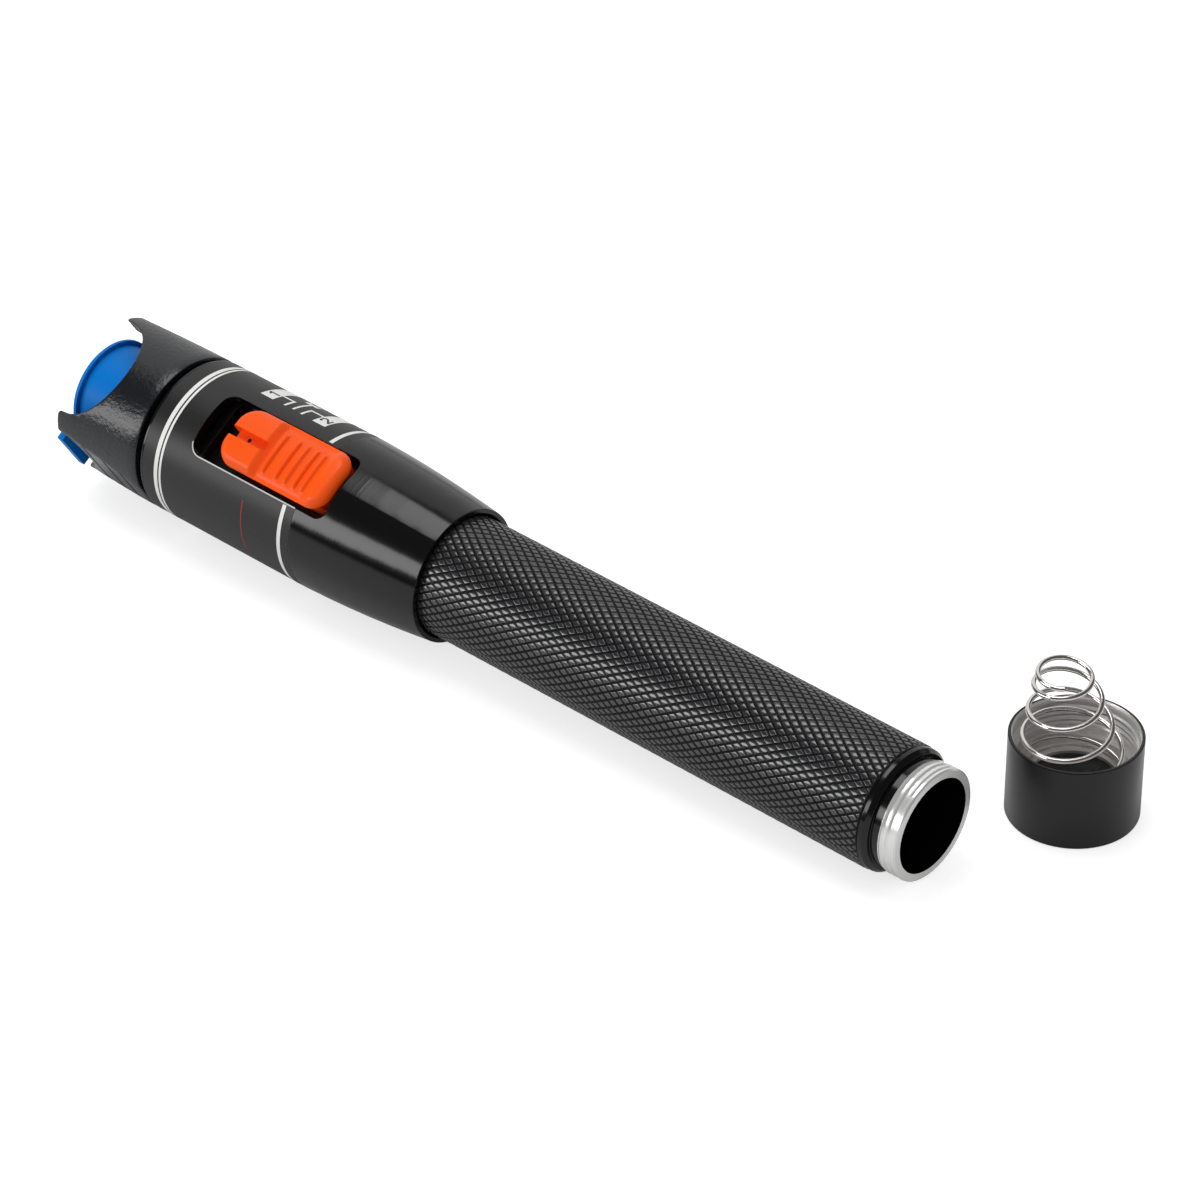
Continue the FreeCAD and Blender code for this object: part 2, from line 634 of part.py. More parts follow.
keep("switch_knob", fused("knob_ridged", knob_hollowed, *ridges))

# Dust shutter: black plate under the knob that keeps the window closed over its whole travel
def front_rounded(name, block, front, radius):
    """Round the two upright edges at the front end of a block."""
    doc.recompute()
    rounded = doc.addObject("Part::Fillet", name)
    rounded.Base = block
    rounded.Edges = [(index, number(radius), number(radius))
                     for index, edge in enumerate(block.Shape.Edges, 1)
                     if edge.CenterOfMass.z > number(front) - 0.1 and is_upright(edge)]
    return rounded


carriage_low = carriage_top - carriage_thickness
shutter_front = knob_front - running_gap
lever_middle = (window_rear + window_front - knob_travel) / 2 - lever_back
shutter_plate = box("shutter_plate", carriage_thickness, carriage_width, shutter_front - shutter_rear,
                    carriage_low, -carriage_width / 2, shutter_rear)
lever_socket = lever_width + running_gap
shutter_hole = box("shutter_hole", carriage_thickness * 3, lever_socket, lever_socket,
                   carriage_low - carriage_thickness, -lever_socket / 2, lever_middle - lever_socket / 2)
shutter_rounded = front_rounded("shutter_rounded", shutter_plate, shutter_front, tray_corner)
keep("knob_carriage", cut("shutter", shutter_rounded, shutter_hole))

# Guide tray: black moulding inside the window; its front wall shows as a step in the well
tray_top = carriage_low - running_gap
tray_low = tray_top - tray_floor
tray_inner = carriage_width / 2 + running_gap
tray_outer = tray_inner + tray_wall
tray_block = box("tray_block", tray_rim - tray_low, tray_outer * 2, window_front + tray_wall - tray_rear,
                 tray_low, -tray_outer, tray_rear)
tray_hollow = box("tray_hollow", tray_rim, tray_inner * 2, tray_front - tray_back, tray_top, -tray_inner, tray_back)
slit_length = knob_travel + lever_width + running_gap * 2
tray_slit = box("tray_slit", tray_rim, lever_socket, slit_length,
                tray_low - tray_wall, -lever_socket / 2, lever_middle - lever_width / 2 - running_gap)
tray_round = rod("tray_round", head_bore - fit_gap, tray_front * 2)
hollow_round = front_rounded("tray_hollow_round", tray_hollow, tray_front, tray_corner)
tray_shell = cut("tray_shell", cut("tray_open", tray_block, hollow_round), tray_slit)
keep("guide_tray", common("tray", tray_shell, tray_round))

# Slide switch on the driver board, and the lever that the shutter carries along
switch_top = tray_low - running_gap
board_top = switch_top - switch_height
board_low = board_top - board_thickness
switch_middle = lever_middle + knob_travel / 2
keep("slide_switch", box("switch_can", switch_height, switch_width, switch_length,
                         board_top, -switch_width / 2, switch_middle - switch_length / 2))
keep("switch_lever", box("lever", lever_height, lever_width, lever_width,
                         switch_top, -lever_width / 2, lever_middle - lever_width / 2))

# Driver board with its chip and capacitors, between the contact board and the laser
board_rear = seat_end + fit_gap
board_width = chord(head_bore - board_gap, board_top)
plate_rear = spigot_front - plate_thickness
barrel_rear = plate_rear - nut_height - thread_spare
holder_rear = barrel_rear - holder_length
board_front = holder_rear - switch_gap
keep("circuit_board", box("board", board_thickness, board_width, board_front - board_rear,
                          board_low, -board_width / 2, board_rear))
chip_middle = board_rear + chip_length
keep("driver_chip", box("chip", chip_height, chip_length * 0.8, chip_length,
                        board_low - chip_height, -chip_length * 0.4, chip_middle - chip_length / 2))
capacitors = []
for side in (-1, 1):
    capacitors.append(rod(f"capacitor_{side + 2}", capacitor_radius, capacitor_height,
                          x=board_low - capacitor_height, y=side * chip_length, z=switch_middle,
                          turn=LEFT_TO_RIGHT))
keep("capacitors", fused("capacitor_pair", *capacitors))

# Contact carrier, recessed so that its brass button ends flush with the battery bore
carrier_floor = tube_front + contact_height
keep("contact_carrier", turned("carrier", [
    (0, carrier_floor),
    (contact_recess, carrier_floor),
    (contact_recess, tube_front),
    (grip_radius, tube_front),
    (grip_radius, carrier_front),
    (0, carrier_front),
]))
keep("front_contact", rod("contact_button", contact_radius, contact_height, z=tube_front))

# Port: bulkhead, barrel, nut and split ceramic sleeve
keep("port_plate", tube("bulkhead", port_radius + fit_gap, head_bore - fit_gap, plate_rear, spigot_front))
sleeve_radius = ferrule_radius + sleeve_wall
sleeve_front = port_front - sleeve_recess
sleeve_rear = sleeve_front - sleeve_length
barrel_flange = spigot_front + port_rim
keep("port_barrel", turned("barrel", [
    (beam_bore, barrel_rear),
    (port_radius, barrel_rear),
    (port_radius, spigot_front),
    (port_flange, spigot_front),
    (port_flange, barrel_flange),
    (port_radius, barrel_flange),
    (port_radius, port_front - port_bevel),
    (port_radius - port_bevel, port_front),
    (port_mouth, port_front),
    (port_mouth, sleeve_front),
    (sleeve_radius + fit_gap, sleeve_front),
    (sleeve_radius + fit_gap, sleeve_rear),
    (beam_bore, sleeve_rear),
]))
sleeve_tube = tube("sleeve_tube", ferrule_radius, sleeve_radius, sleeve_rear, sleeve_front)
sleeve_cut = box("sleeve_cut", sleeve_radius * 2, sleeve_slit, sleeve_length, 0, -sleeve_slit / 2, sleeve_rear)
keep("ceramic_sleeve", cut("split_sleeve", sleeve_tube, sleeve_cut))
nut_blank = doc.addObject("Part::Prism", "nut_blank")
nut_blank.Polygon = 6
bind(nut_blank, Circumradius=nut_across / math.sqrt(3), Height=nut_height)
place(nut_blank, z=plate_rear - nut_height)
keep("port_nut", cut("nut", nut_blank, rod("nut_thread", port_radius + fit_gap, port_front)))

# Laser: holder, lens and diode
lens_front = barrel_rear - holder_wall
keep("laser_holder", turned("holder", [
    (lens_radius + fit_gap, holder_rear),
    (holder_radius, holder_rear),
    (holder_radius, barrel_rear),
    (port_mouth, barrel_rear),
    (port_mouth, lens_front),
    (lens_radius + fit_gap, lens_front),
]))
keep("collimating_lens", rod("lens", lens_radius, lens_thickness, z=lens_front - lens_thickness))
diode_rear = holder_rear + fit_gap
diode_can = rod("diode_can", diode_radius, diode_length, z=diode_rear)
leads = []
for index in range(3):
    angle = math.radians(120 * index)
    leads.append(rod(f"lead_{index + 1}", lead_radius, lead_length, x=lead_circle * math.cos(angle),
                     y=lead_circle * math.sin(angle), z=diode_rear - lead_length))
keep("laser_diode", fused("diode", diode_can, *leads))

# Cap seat: blue collar behind the lid, clamped under the bezel, with the arm that carries the hinge
skirt_end = lid_station - lid_depth
hinge_station = lid_station - hinge_drop
seat_ring = turned("seat_ring", [
    (seat_bore, spigot_front),
    (spigot_radius, spigot_front),
    (spigot_radius, seat_shoulder - fit_gap),
    (lid_skirt, seat_shoulder - fit_gap),
    (lid_skirt, skirt_end - running_gap),
    (seat_bore, skirt_end - running_gap),
])
arm_block = box("arm_block", hinge_width, arm_outer - arm_inner, hinge_station - spigot_front,
                -hinge_width / 2, arm_inner, spigot_front)
arm = common("arm", arm_block, rod("arm_round", bezel_inner - fit_gap * 2, lid_station))
ears = rod("ears", hinge_barrel, hinge_width, x=-hinge_width / 2, y=hinge_offset, z=hinge_station,
           turn=LEFT_TO_RIGHT)
ear_gap = knuckle_width + running_gap
ear_space = box("ear_space", ear_gap, hinge_barrel * 4, hinge_barrel * 3,
                -ear_gap / 2, hinge_offset - hinge_barrel * 2, hinge_station - hinge_barrel - running_gap)
ear_bore = rod("ear_bore", pin_radius, hinge_width * 2, x=-hinge_width, y=hinge_offset, z=hinge_station,
               turn=LEFT_TO_RIGHT)
ears_cut = cut("ears_bored", cut("ears_spaced", fused("ears_on_arm", arm, ears), ear_space), ear_bore)
keep("cap_seat", fused("seat", seat_ring, ears_cut))
keep("hinge_pin", rod("pin", pin_radius, hinge_width, x=-hinge_width / 2, y=hinge_offset, z=hinge_station,
                      turn=LEFT_TO_RIGHT))

# Dust cap: blue lid with a rim, a skirt, a thumb tab and its hinge knuckle
lid_shell = turned("lid_shell", [
    (0, lid_station - lid_wall),
    (lid_skirt - lid_wall, lid_station - lid_wall),
    (lid_skirt - lid_wall, skirt_end),
    (lid_skirt, skirt_end),
    (lid_skirt, lid_station - lid_rim),
    (lid_radius, lid_station - lid_rim),
    (lid_radius, lid_station - lid_rim / 3),
    (lid_radius - lid_rim / 3, lid_station),
    (0, lid_station),
])
tab = box("tab", tab_width, tab_reach - lid_skirt, tab_thickness,
          -tab_width / 2, -tab_reach, lid_station - tab_thickness)
lid_knuckle = rod("lid_knuckle", hinge_barrel, knuckle_width, x=-knuckle_width / 2, y=hinge_offset,
                  z=hinge_station, turn=LEFT_TO_RIGHT)
web_top = hinge_station + hinge_barrel
web = box("web", knuckle_width, hinge_offset - lid_skirt + lid_wall, web_top - lid_station + tab_thickness,
          -knuckle_width / 2, lid_skirt - lid_wall / 2, lid_station - tab_thickness)
lid_bore = rod("lid_bore", pin_radius + pin_gap, hinge_width, x=-hinge_width / 2, y=hinge_offset,
               z=hinge_station, turn=LEFT_TO_RIGHT)
keep("dust_cap", cut("lid", fused("lid_blank", lid_shell, tab, lid_knuckle, web), lid_bore))

# Tail cap: turned cup, threaded inside its mouth, drawn with its closed end at height 0
keep("tail_cap", turned("cup", [
    (0, 0),
    (cap_radius - cap_edge, 0),
    (cap_radius, cap_edge),
    (cap_radius, cap_height),
    (cap_thread + cap_mouth_bevel, cap_height),
    (cap_thread, cap_height - cap_mouth_bevel),
    (cap_thread, cap_height - cap_thread_depth),
    (cap_well, cap_height - cap_thread_depth),
    (cap_well, cap_floor),
    (0, cap_floor),
]))

# Tail spring: conical, a flat turn on the cap's floor and two close turns at its tip
def spring_section(turns):
    """Eight-sided section of the wire, this many turns from the end that rests on the cap's floor."""
    wire = spring_wire.value
    base_radius, tip_radius = spring_base.value - wire, spring_tip.value - wire
    along = min(max((turns - base_turns) / cone_turns, 0), 1)
    beyond = max(turns - base_turns - cone_turns, 0)
    narrowing = min(max((turns - wide_turns) / narrowing_turns, 0), 1)
    tip_rise = tip_turns * wire * 3
    climb = spring_height.value - tip_rise - wire * 2
    height = cap_floor.value + wire + climb * along + beyond / tip_turns * tip_rise
    radius = base_radius - (base_radius - tip_radius) * narrowing
    lean = spring_lean.value * (height - cap_floor.value) / spring_height.value
    angle = math.tau * (turns - total_turns) + math.radians(spring_end.value)
    height += math.tan(math.radians(spring_dip.value)) * radius * math.sin(angle) * min(along * 3, 1)
    corner = wire / math.cos(math.pi / wire_sides)
    outline = []
    for side in range(wire_sides):
        swing = math.tau * (side + 0.5) / wire_sides
        reach = radius + corner * math.cos(swing)
        outline.append(FreeCAD.Vector(
            reach * math.cos(angle) - lean, reach * math.sin(angle), height + corner * math.sin(swing)))
    return Part.makePolygon(outline + outline[:1])


total_turns = base_turns + cone_turns + tip_turns
section_count = round(total_turns * sections_per_turn)
spring_sections = [spring_section(total_turns * step / section_count) for step in range(section_count + 1)]
spring = doc.addObject("Part::Feature", "spring")
spring.Shape = Part.makeLoft(spring_sections, True, True)
keep("tail_spring", spring)

doc.recompute()

# Lay the pen on the floor: it rests on the tail end of the grip and on the rear end of the full radius
rest_run = (taper_station - neck_end - grip_chamfer).value
tilt = math.atan2((head_radius - grip_radius).value, rest_run)
roll = math.radians(slot_roll.value)
tail_height = grip_radius.value * math.cos(tilt) - (neck_end + grip_chamfer).value * math.sin(tilt)
forward = FreeCAD.Vector(-math.cos(tilt), 0, math.sin(tilt))
upward = FreeCAD.Vector(math.sin(tilt), 0, math.cos(tilt))
near_side = FreeCAD.Vector(0, -1, 0)
window_way = upward * math.cos(roll) + near_side * math.sin(roll)
pen_turn = FreeCAD.Rotation(window_way, forward.cross(window_way), forward, "ZXY")
pen_placement = FreeCAD.Placement(FreeCAD.Vector(0, 0, tail_height), pen_turn)
cap_placement = FreeCAD.Placement(
    FreeCAD.Vector(cap_ahead.value, cap_aside.value, 0),
    FreeCAD.Rotation(FreeCAD.Vector(0, 0, 1), cap_turn.value),
)
loose_pieces = ("tail_cap", "tail_spring")


def set_down(shift):
    """Give every sub-part its placement in the finished object, moved by shift."""
    for label, group in sub_parts.items():
        settled = cap_placement if label in loose_pieces else pen_placement
        group.Placement = FreeCAD.Placement(shift, FreeCAD.Rotation()).multiply(settled)
    doc.recompute()


def check_built():
    """Stop if any feature failed or any sub-part is not a sound solid."""
    for entry in doc.Objects:
        if {"Invalid", "Error"} & set(entry.State):
            raise RuntimeError(f"{entry.Name} did not build: {entry.State}")
    for label, group in sub_parts.items():
        if group.Shape.isNull() or not group.Shape.isValid() or not group.Shape.Solids:
            raise RuntimeError(f"{label} is not a sound solid")


set_down(FreeCAD.Vector())
check_built()
whole = FreeCAD.BoundBox()
for group in sub_parts.values():
    whole.add(group.Shape.optimalBoundingBox(False))
set_down(FreeCAD.Vector(-whole.Center.x, -whole.Center.y, -whole.ZMin))
check_built()

os.makedirs("parts", exist_ok=True)
for label, group in sub_parts.items():
    solids = group.Shape.Solids
    shape = solids[0] if len(solids) == 1 else group.Shape
    shape.exportStep(os.path.join("parts", label + ".step"))
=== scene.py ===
import json
import math

import bmesh
import bpy
from mathutils import Matrix, Vector


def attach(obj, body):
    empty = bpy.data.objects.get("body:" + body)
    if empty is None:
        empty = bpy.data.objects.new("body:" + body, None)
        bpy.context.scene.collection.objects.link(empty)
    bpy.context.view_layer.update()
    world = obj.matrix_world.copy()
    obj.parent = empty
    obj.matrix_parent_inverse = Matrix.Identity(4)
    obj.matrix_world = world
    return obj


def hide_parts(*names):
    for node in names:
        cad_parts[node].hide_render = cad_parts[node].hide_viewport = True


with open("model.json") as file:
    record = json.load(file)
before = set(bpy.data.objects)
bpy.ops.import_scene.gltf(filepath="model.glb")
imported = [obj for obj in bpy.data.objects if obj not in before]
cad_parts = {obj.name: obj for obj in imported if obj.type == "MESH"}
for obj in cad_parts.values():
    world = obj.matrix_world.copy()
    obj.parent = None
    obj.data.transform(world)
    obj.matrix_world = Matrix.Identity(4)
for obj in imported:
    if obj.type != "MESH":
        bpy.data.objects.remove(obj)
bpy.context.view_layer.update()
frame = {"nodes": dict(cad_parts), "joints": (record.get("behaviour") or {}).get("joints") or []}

# Battery tube: turned aluminium with a diamond knurl, anodised black. The thread at its open tail was
# cut after the anodising and is bright. The tube is seated in the housing at its front.

# Sizes are in millimetres in the pen's own axes: X out through the switch window, Y to the hinge's side
# and Z from the tail to the lid. The hinge and the switch of the frame say where those axes lie.
MM = 0.001
HINGE_OFFSET = 10.7
HINGE_STATION = 168.4
joints = {joint["name"]: joint for joint in frame["joints"]}
forward = Vector(joints["knob_slide"]["axis"]).normalized()
window_way = -Vector(joints["lid_hinge"]["axis"]).normalized()
side_way = forward.cross(window_way).normalized()
tail_end = Vector(joints["lid_hinge"]["pos_m"]) - (side_way * HINGE_OFFSET + forward * HINGE_STATION) * MM
pen_turn = Matrix((window_way, side_way, forward)).transposed()
PEN = Matrix.Translation(tail_end) @ pen_turn.to_4x4() @ Matrix.Scale(MM, 4)
PEN_ANGLES = pen_turn.transposed().to_euler()
PEN_ORIGIN = -(pen_turn.transposed() @ tail_end)

GRIP_RADIUS = 10.0
GRIP_EDGE = 0.7
BAND_DROP = 0.12
BAND_FRONT_DROP = 0.08
BAND_GAP = 0.25
BORE_RADIUS = 7.65
TUBE_FRONT = 102.6
NECK_RADIUS = 8.75
NECK_END = 4.7
KNURL_START = 6.3
KNURL_PITCH = 2.21
KNURL_ROWS = 41
KNURL_AROUND = 45
KNURL_FLOOR = 9.66
KNURL_GROOVE = 0.19
KNURL_CROWN = 0.07
KNURL_RUN_OUT = 0.2
THREAD_CORE = 8.84
THREAD_CREST = 9.0
THREAD_LENGTH = 3.2
THREAD_START = 0.9
THREAD_PITCH = 1.0
THREAD_TURNS = 2.2
THREAD_HALF_SHARE = 0.42
THREAD_ROOT_DEPTH = 0.05
MOUTH_CHAMFER = (0.25, 0.2)
MOUTH_RIM = 0.55
MOUTH_RUN_IN = 0.2
TUBE_BLACK, TUBE_KNURL, TUBE_BRIGHT = 0, 1, 2


def turn_outline(points, steps, closed=True):
    """Turn an outline of (radius, height) points once about Z, as a lathe does."""
    bm = bmesh.new()
    corners = [bm.verts.new((radius, 0, height)) for radius, height in points]
    for first, second in zip(corners, corners[1:]):
        bm.edges.new((first, second))
    if closed:
        bm.edges.new((corners[-1], corners[0]))
    bmesh.ops.spin(bm, geom=bm.verts[:] + bm.edges[:], axis=(0, 0, 1), cent=(0, 0, 0),
                   angle=math.tau, steps=steps, use_merge=True, use_duplicate=False)
    bmesh.ops.remove_doubles(bm, verts=bm.verts[:], dist=1e-5)
    bmesh.ops.recalc_face_normals(bm, faces=bm.faces[:])
    return bm


def add_thread(bm, radius, height, start, turns, metal, steps_per_turn=60):
    """Wind a three-cornered ridge of one metal round a core. A negative height points it inwards."""
    half = THREAD_PITCH * THREAD_HALF_SHARE
    steps = round(turns * steps_per_turn)
    root = radius - math.copysign(THREAD_ROOT_DEPTH, height)
    profile = ((root, -half), (radius + height, 0), (root, half))
    corners = [bm.verts.new((reach, 0, start + rise)) for reach, rise in profile]
    outline = [bm.edges.new((corner, corners[index - 2])) for index, corner in enumerate(corners)]
    before = set(bm.faces)
    bm.faces.new(corners)
    climb = (0, 0, THREAD_PITCH * turns / steps)
    swept = bmesh.ops.spin(bm, geom=outline, axis=(0, 0, 1), cent=(0, 0, 0), dvec=climb,
                           angle=math.tau * turns, steps=steps, use_duplicate=False)
    bm.faces.new([item for item in swept["geom_last"] if isinstance(item, bmesh.types.BMVert)])
    ridge = [face for face in bm.faces if face not in before]
    bmesh.ops.recalc_face_normals(bm, faces=ridge)
    for face in ridge:
        face.material_index = metal


def finish_piece(name, bm, place, body, materials, nodes=(), sharp=35.0):
    """Make a bmesh drawn in millimetres an object in its place, riding on its body."""
    bm.transform(place)
    mesh = bpy.data.meshes.new(name)
    bm.to_mesh(mesh)
    bm.free()
    mesh.shade_smooth()
    mesh.set_sharp_from_angle(angle=math.radians(sharp))
    for material in materials:
        mesh.materials.append(material)
    piece = bpy.data.objects.new(name, mesh)
    bpy.context.scene.collection.objects.link(piece)
    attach(piece, body)
    if nodes:
        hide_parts(*nodes)


def dress(material, *names):
    """Give whole CAD nodes one material."""
    for name in names:
        frame["nodes"][name].data.materials.clear()
        frame["nodes"][name].data.materials.append(material)


def new_material(name, colour, roughness, metallic=0.0, **sockets):
    """A material whose plain values sit on the shader's own sockets."""
    material = bpy.data.materials.new(name)
    material.use_nodes = True
    inputs = material.node_tree.nodes["Principled BSDF"].inputs
    inputs["Base Color"].default_value = (*colour, 1)
    inputs["Roughness"].default_value = roughness
    inputs["Metallic"].default_value = metallic
    for socket, value in sockets.items():
        inputs[socket.replace("_", " ")].default_value = value
    return material


def feed(tree, socket, given):
    """Give a socket a plain value, or link the output of another node to it."""
    if isinstance(given, bpy.types.NodeSocket):
        tree.links.new(given, socket)
    else:
        socket.default_value = given


def add_node(tree, kind, **inputs):
    """A new node, with the inputs that are named here fed."""
    node = tree.nodes.new(kind)
    for name, given in inputs.items():
        feed(tree, node.inputs[name.replace("_", " ")], given)
    return node


def add_maths(tree, kind, operation, *terms):
    """The value of a maths or vector maths node, with its terms fed in their order."""
    node = tree.nodes.new(kind)
    node.operation = operation
    for socket, term in zip(node.inputs, terms):
        feed(tree, socket, term)
    return node.outputs["Value"]


def piece_place(material):
    """The place on a piece, in metres."""
    return add_node(material.node_tree, "ShaderNodeTexCoord").outputs["Object"]


def along_pen(material):
    """The place on a piece in the pen's own axes, in metres, with Z along the pen."""
    turn = add_node(material.node_tree, "ShaderNodeMapping", Vector=piece_place(material),
                    Location=PEN_ORIGIN, Rotation=PEN_ANGLES)
    return turn.outputs["Vector"]


def add_bump(material, height, strength, distance):
    """Feed a height into the shader's normal."""
    tree = material.node_tree
    bump = add_node(tree, "ShaderNodeBump", Strength=strength, Distance=distance, Height=height)
    feed(tree, tree.nodes["Principled BSDF"].inputs["Normal"], bump.outputs["Normal"])
    return bump


def add_grain(material, grains, strength, distance, **noise):
    """An even grain in a skin, so many grains to the metre."""
    grain = add_node(material.node_tree, "ShaderNodeTexNoise", Vector=along_pen(material), Scale=grains,
                     **noise)
    return add_bump(material, grain.outputs["Fac"], strength, distance)


def build_turning_marks():
    """Node group: fine marks that a lathe leaves round an axis, from a place along that axis."""
    group = bpy.data.node_groups.new("turning_marks", "ShaderNodeTree")
    group.interface.new_socket("Vector", in_out="INPUT", socket_type="NodeSocketVector")
    group.interface.new_socket("Marks per metre", in_out="INPUT", socket_type="NodeSocketFloat")
    group.interface.new_socket("Height", in_out="OUTPUT", socket_type="NodeSocketFloat")
    entry = add_node(group, "NodeGroupInput").outputs
    apart = add_node(group, "ShaderNodeSeparateXYZ", Vector=entry["Vector"])
    along = add_maths(group, "ShaderNodeMath", "MULTIPLY", apart.outputs["Z"], entry["Marks per metre"])
    grain = group.nodes.new("ShaderNodeTexNoise")
    grain.noise_dimensions = "1D"
    for socket, given in (("W", along), ("Scale", 1.0), ("Detail", 3.0), ("Roughness", 0.7)):
        feed(group, grain.inputs[socket], given)
    add_node(group, "NodeGroupOutput", Height=grain.outputs["Fac"])
    return group


turning_marks = build_turning_marks()


def add_turning_marks(material, place, marks, strength, distance):
    """Turned marks in a surface, so many to the metre along the Z axis of the place."""
    lines = material.node_tree.nodes.new("ShaderNodeGroup")
    lines.node_tree = turning_marks
    feed(material.node_tree, lines.inputs["Marks per metre"], marks)
    feed(material.node_tree, lines.inputs["Vector"], place)
    return add_bump(material, lines.outputs["Height"], strength, distance)


def add_rounding(material, radius, bump=None):
    """Let light see the edges of a piece as a little rounded."""
    tree = material.node_tree
    rounding = add_node(tree, "ShaderNodeBevel", Radius=radius)
    rounding.samples = 8
    target = bump or tree.nodes["Principled BSDF"]
    feed(tree, target.inputs["Normal"], rounding.outputs["Normal"])


anodised = new_material("anodised_black", (0.0025, 0.0025, 0.003), 0.15)
turned = add_turning_marks(anodised, along_pen(anodised), marks=2600.0, strength=0.3, distance=0.00003)
add_rounding(anodised, 0.0002, turned)
knurl_black = new_material("knurled_black", (0.02, 0.02, 0.022), 0.2, IOR=1.9)
add_grain(knurl_black, grains=2600.0, strength=0.2, distance=0.00003)
bright_cut = new_material("bright_cut_aluminium", (0.95, 0.95, 0.94), 0.24, metallic=0.6)
add_turning_marks(bright_cut, along_pen(bright_cut), marks=9000.0, strength=0.3, distance=0.00002)

knurl_front = KNURL_START + KNURL_PITCH * KNURL_ROWS
tube = turn_outline([
    (BORE_RADIUS, 0),
    (THREAD_CREST - MOUTH_CHAMFER[0], 0),
    (THREAD_CREST, MOUTH_CHAMFER[1]),
    (THREAD_CREST, MOUTH_RIM),
    (THREAD_CORE, MOUTH_RIM + MOUTH_RUN_IN),
    (THREAD_CORE, THREAD_LENGTH),
    (NECK_RADIUS, THREAD_LENGTH + THREAD_ROOT_DEPTH),
    (NECK_RADIUS, NECK_END),
    (GRIP_RADIUS - GRIP_EDGE, NECK_END),
    (GRIP_RADIUS - BAND_DROP, NECK_END + GRIP_EDGE),
    (GRIP_RADIUS - BAND_FRONT_DROP, KNURL_START - BAND_GAP),
    *[(KNURL_FLOOR, KNURL_START + KNURL_PITCH * row) for row in range(KNURL_ROWS + 1)],
    (GRIP_RADIUS, knurl_front + KNURL_RUN_OUT),
    (GRIP_RADIUS, TUBE_FRONT),
    (BORE_RADIUS, TUBE_FRONT),
], steps=KNURL_AROUND)


def is_knurled(face):
    """Whether a face of the tube lies in the knurled band."""
    centre = face.calc_center_median()
    return KNURL_START < centre.z < knurl_front and centre.xy.length > NECK_RADIUS


cells = [face for face in tube.faces if is_knurled(face)]
band = set(cells)
lines = {edge for face in cells for edge in face.edges if band.issuperset(edge.link_faces)}
poked = bmesh.ops.poke(tube, faces=cells)
for centre in poked["verts"]:
    centre.co.xy *= KNURL_FLOOR / centre.co.xy.length
bmesh.ops.dissolve_edges(tube, edges=list(lines), use_verts=False)
diamonds = [face for face in tube.faces if is_knurled(face)]
bmesh.ops.inset_individual(tube, faces=diamonds, thickness=KNURL_GROOVE, depth=GRIP_RADIUS - KNURL_FLOOR,
                           use_even_offset=True)
bmesh.ops.inset_individual(tube, faces=diamonds, thickness=KNURL_CROWN, depth=KNURL_CROWN / 3,
                           use_even_offset=True)
for face in tube.faces:
    centre = face.calc_center_median()
    if centre.z < THREAD_LENGTH and centre.xy.length > BORE_RADIUS + THREAD_ROOT_DEPTH:
        face.material_index = TUBE_BRIGHT
    else:
        face.material_index = TUBE_KNURL if is_knurled(face) else TUBE_BLACK
add_thread(tube, THREAD_CORE, THREAD_CREST - THREAD_CORE, THREAD_START, THREAD_TURNS, TUBE_BRIGHT)
finish_piece("grip_tube", tube, PEN, "pen", (anodised, knurl_black, bright_cut),
             nodes=("battery_tube",), sharp=28.0)

# Housing: turned and anodised like the tube, with the switch window milled into it. The CAD node
# already has its whole shape, so it only takes its finish here.
dress(anodised, "housing")

# Label film: black film wrapped round the housing, printed with white lines, a thin red rule and a
# plain number for each position of the switch. The wording of the real one is left out. On the thumb's
# side of the window a pale strip along the edge is a painted highlight, where the edge's chamfer catches
# light.
FILM_RADIUS = 13.05
FILM_REAR = 117.3
PRINT_LIFT = 0.02
LEADER_LIFT = 0.03
DIGIT_LIFT = 0.04
WINDOW_WIDTH = 11.6
WINDOW_FRONT = 140.6
WINDOW_CORNER = 2.0
RINGS = ((146.2, 147.0), (145.45, 145.9))
REAR_LINE = (119.0, 119.75)
REAR_LINE_GAP = 1.5
PLATES = ((134.75, 40.2, 80.0, "1"), (129.35, 60.4, 100.0, "0"), (123.25, 39.5, 80.0, "2"))
PLATE_HEIGHT = 2.7
LEADERS = (
    ((41.3, 132.25), (51.0, 132.25), (51.0, 135.0)),
    ((41.8, 130.5), (61.0, 130.5)),
    ((41.0, 128.55), (51.0, 128.55), (51.0, 125.7)),
)
LEADER_WIDTH = 0.45
RED_RULE = ((-40, 127.6), (-80, 127.6))
RED_RULE_WIDTH = 0.2
DIGITS = {
    "0": ((0.0, 0.2), (0.0, 1.5), (0.2, 1.7), (0.9, 1.7), (1.1, 1.5), (1.1, 0.2), (0.9, 0.0), (0.2, 0.0),
          (0.0, 0.2)),
    "1": ((0.1, 1.35), (0.6, 1.7), (0.6, 0.0)),
    "2": ((0.0, 1.5), (0.2, 1.7), (0.9, 1.7), (1.1, 1.5), (1.1, 1.05), (0.0, 0.0), (1.1, 0.0)),
}
DIGIT_INDENT = 1.3
DIGIT_RISE = 0.5
DIGIT_WIDTH = 0.36
BAND_STEP = 3.0
STROKE_STEP = 0.8
HIGHLIGHT_WIDTH = 0.2
HIGHLIGHT_LIFT = (0.01, 0.02)
RAIL_STEPS = 8
film = new_material("label_film", (0.012, 0.012, 0.013), 0.42)
print_white = new_material("print_white", (0.82, 0.82, 0.8), 0.45)
print_red = new_material("print_red", (0.4, 0.015, 0.015), 0.45)
# Pale grey of the painted highlight along the window's edge.
painted_highlight = new_material("painted_edge_highlight", (0.6, 0.6, 0.61), 0.5)
dress(film, "label_wrap")
window_half_angle = math.degrees(math.asin(WINDOW_WIDTH / 2 / FILM_RADIUS))


def round_film(angle, height, radius):
    """A place round the pen, at an angle in radians from the window."""
    return radius * math.cos(angle), radius * math.sin(angle), height


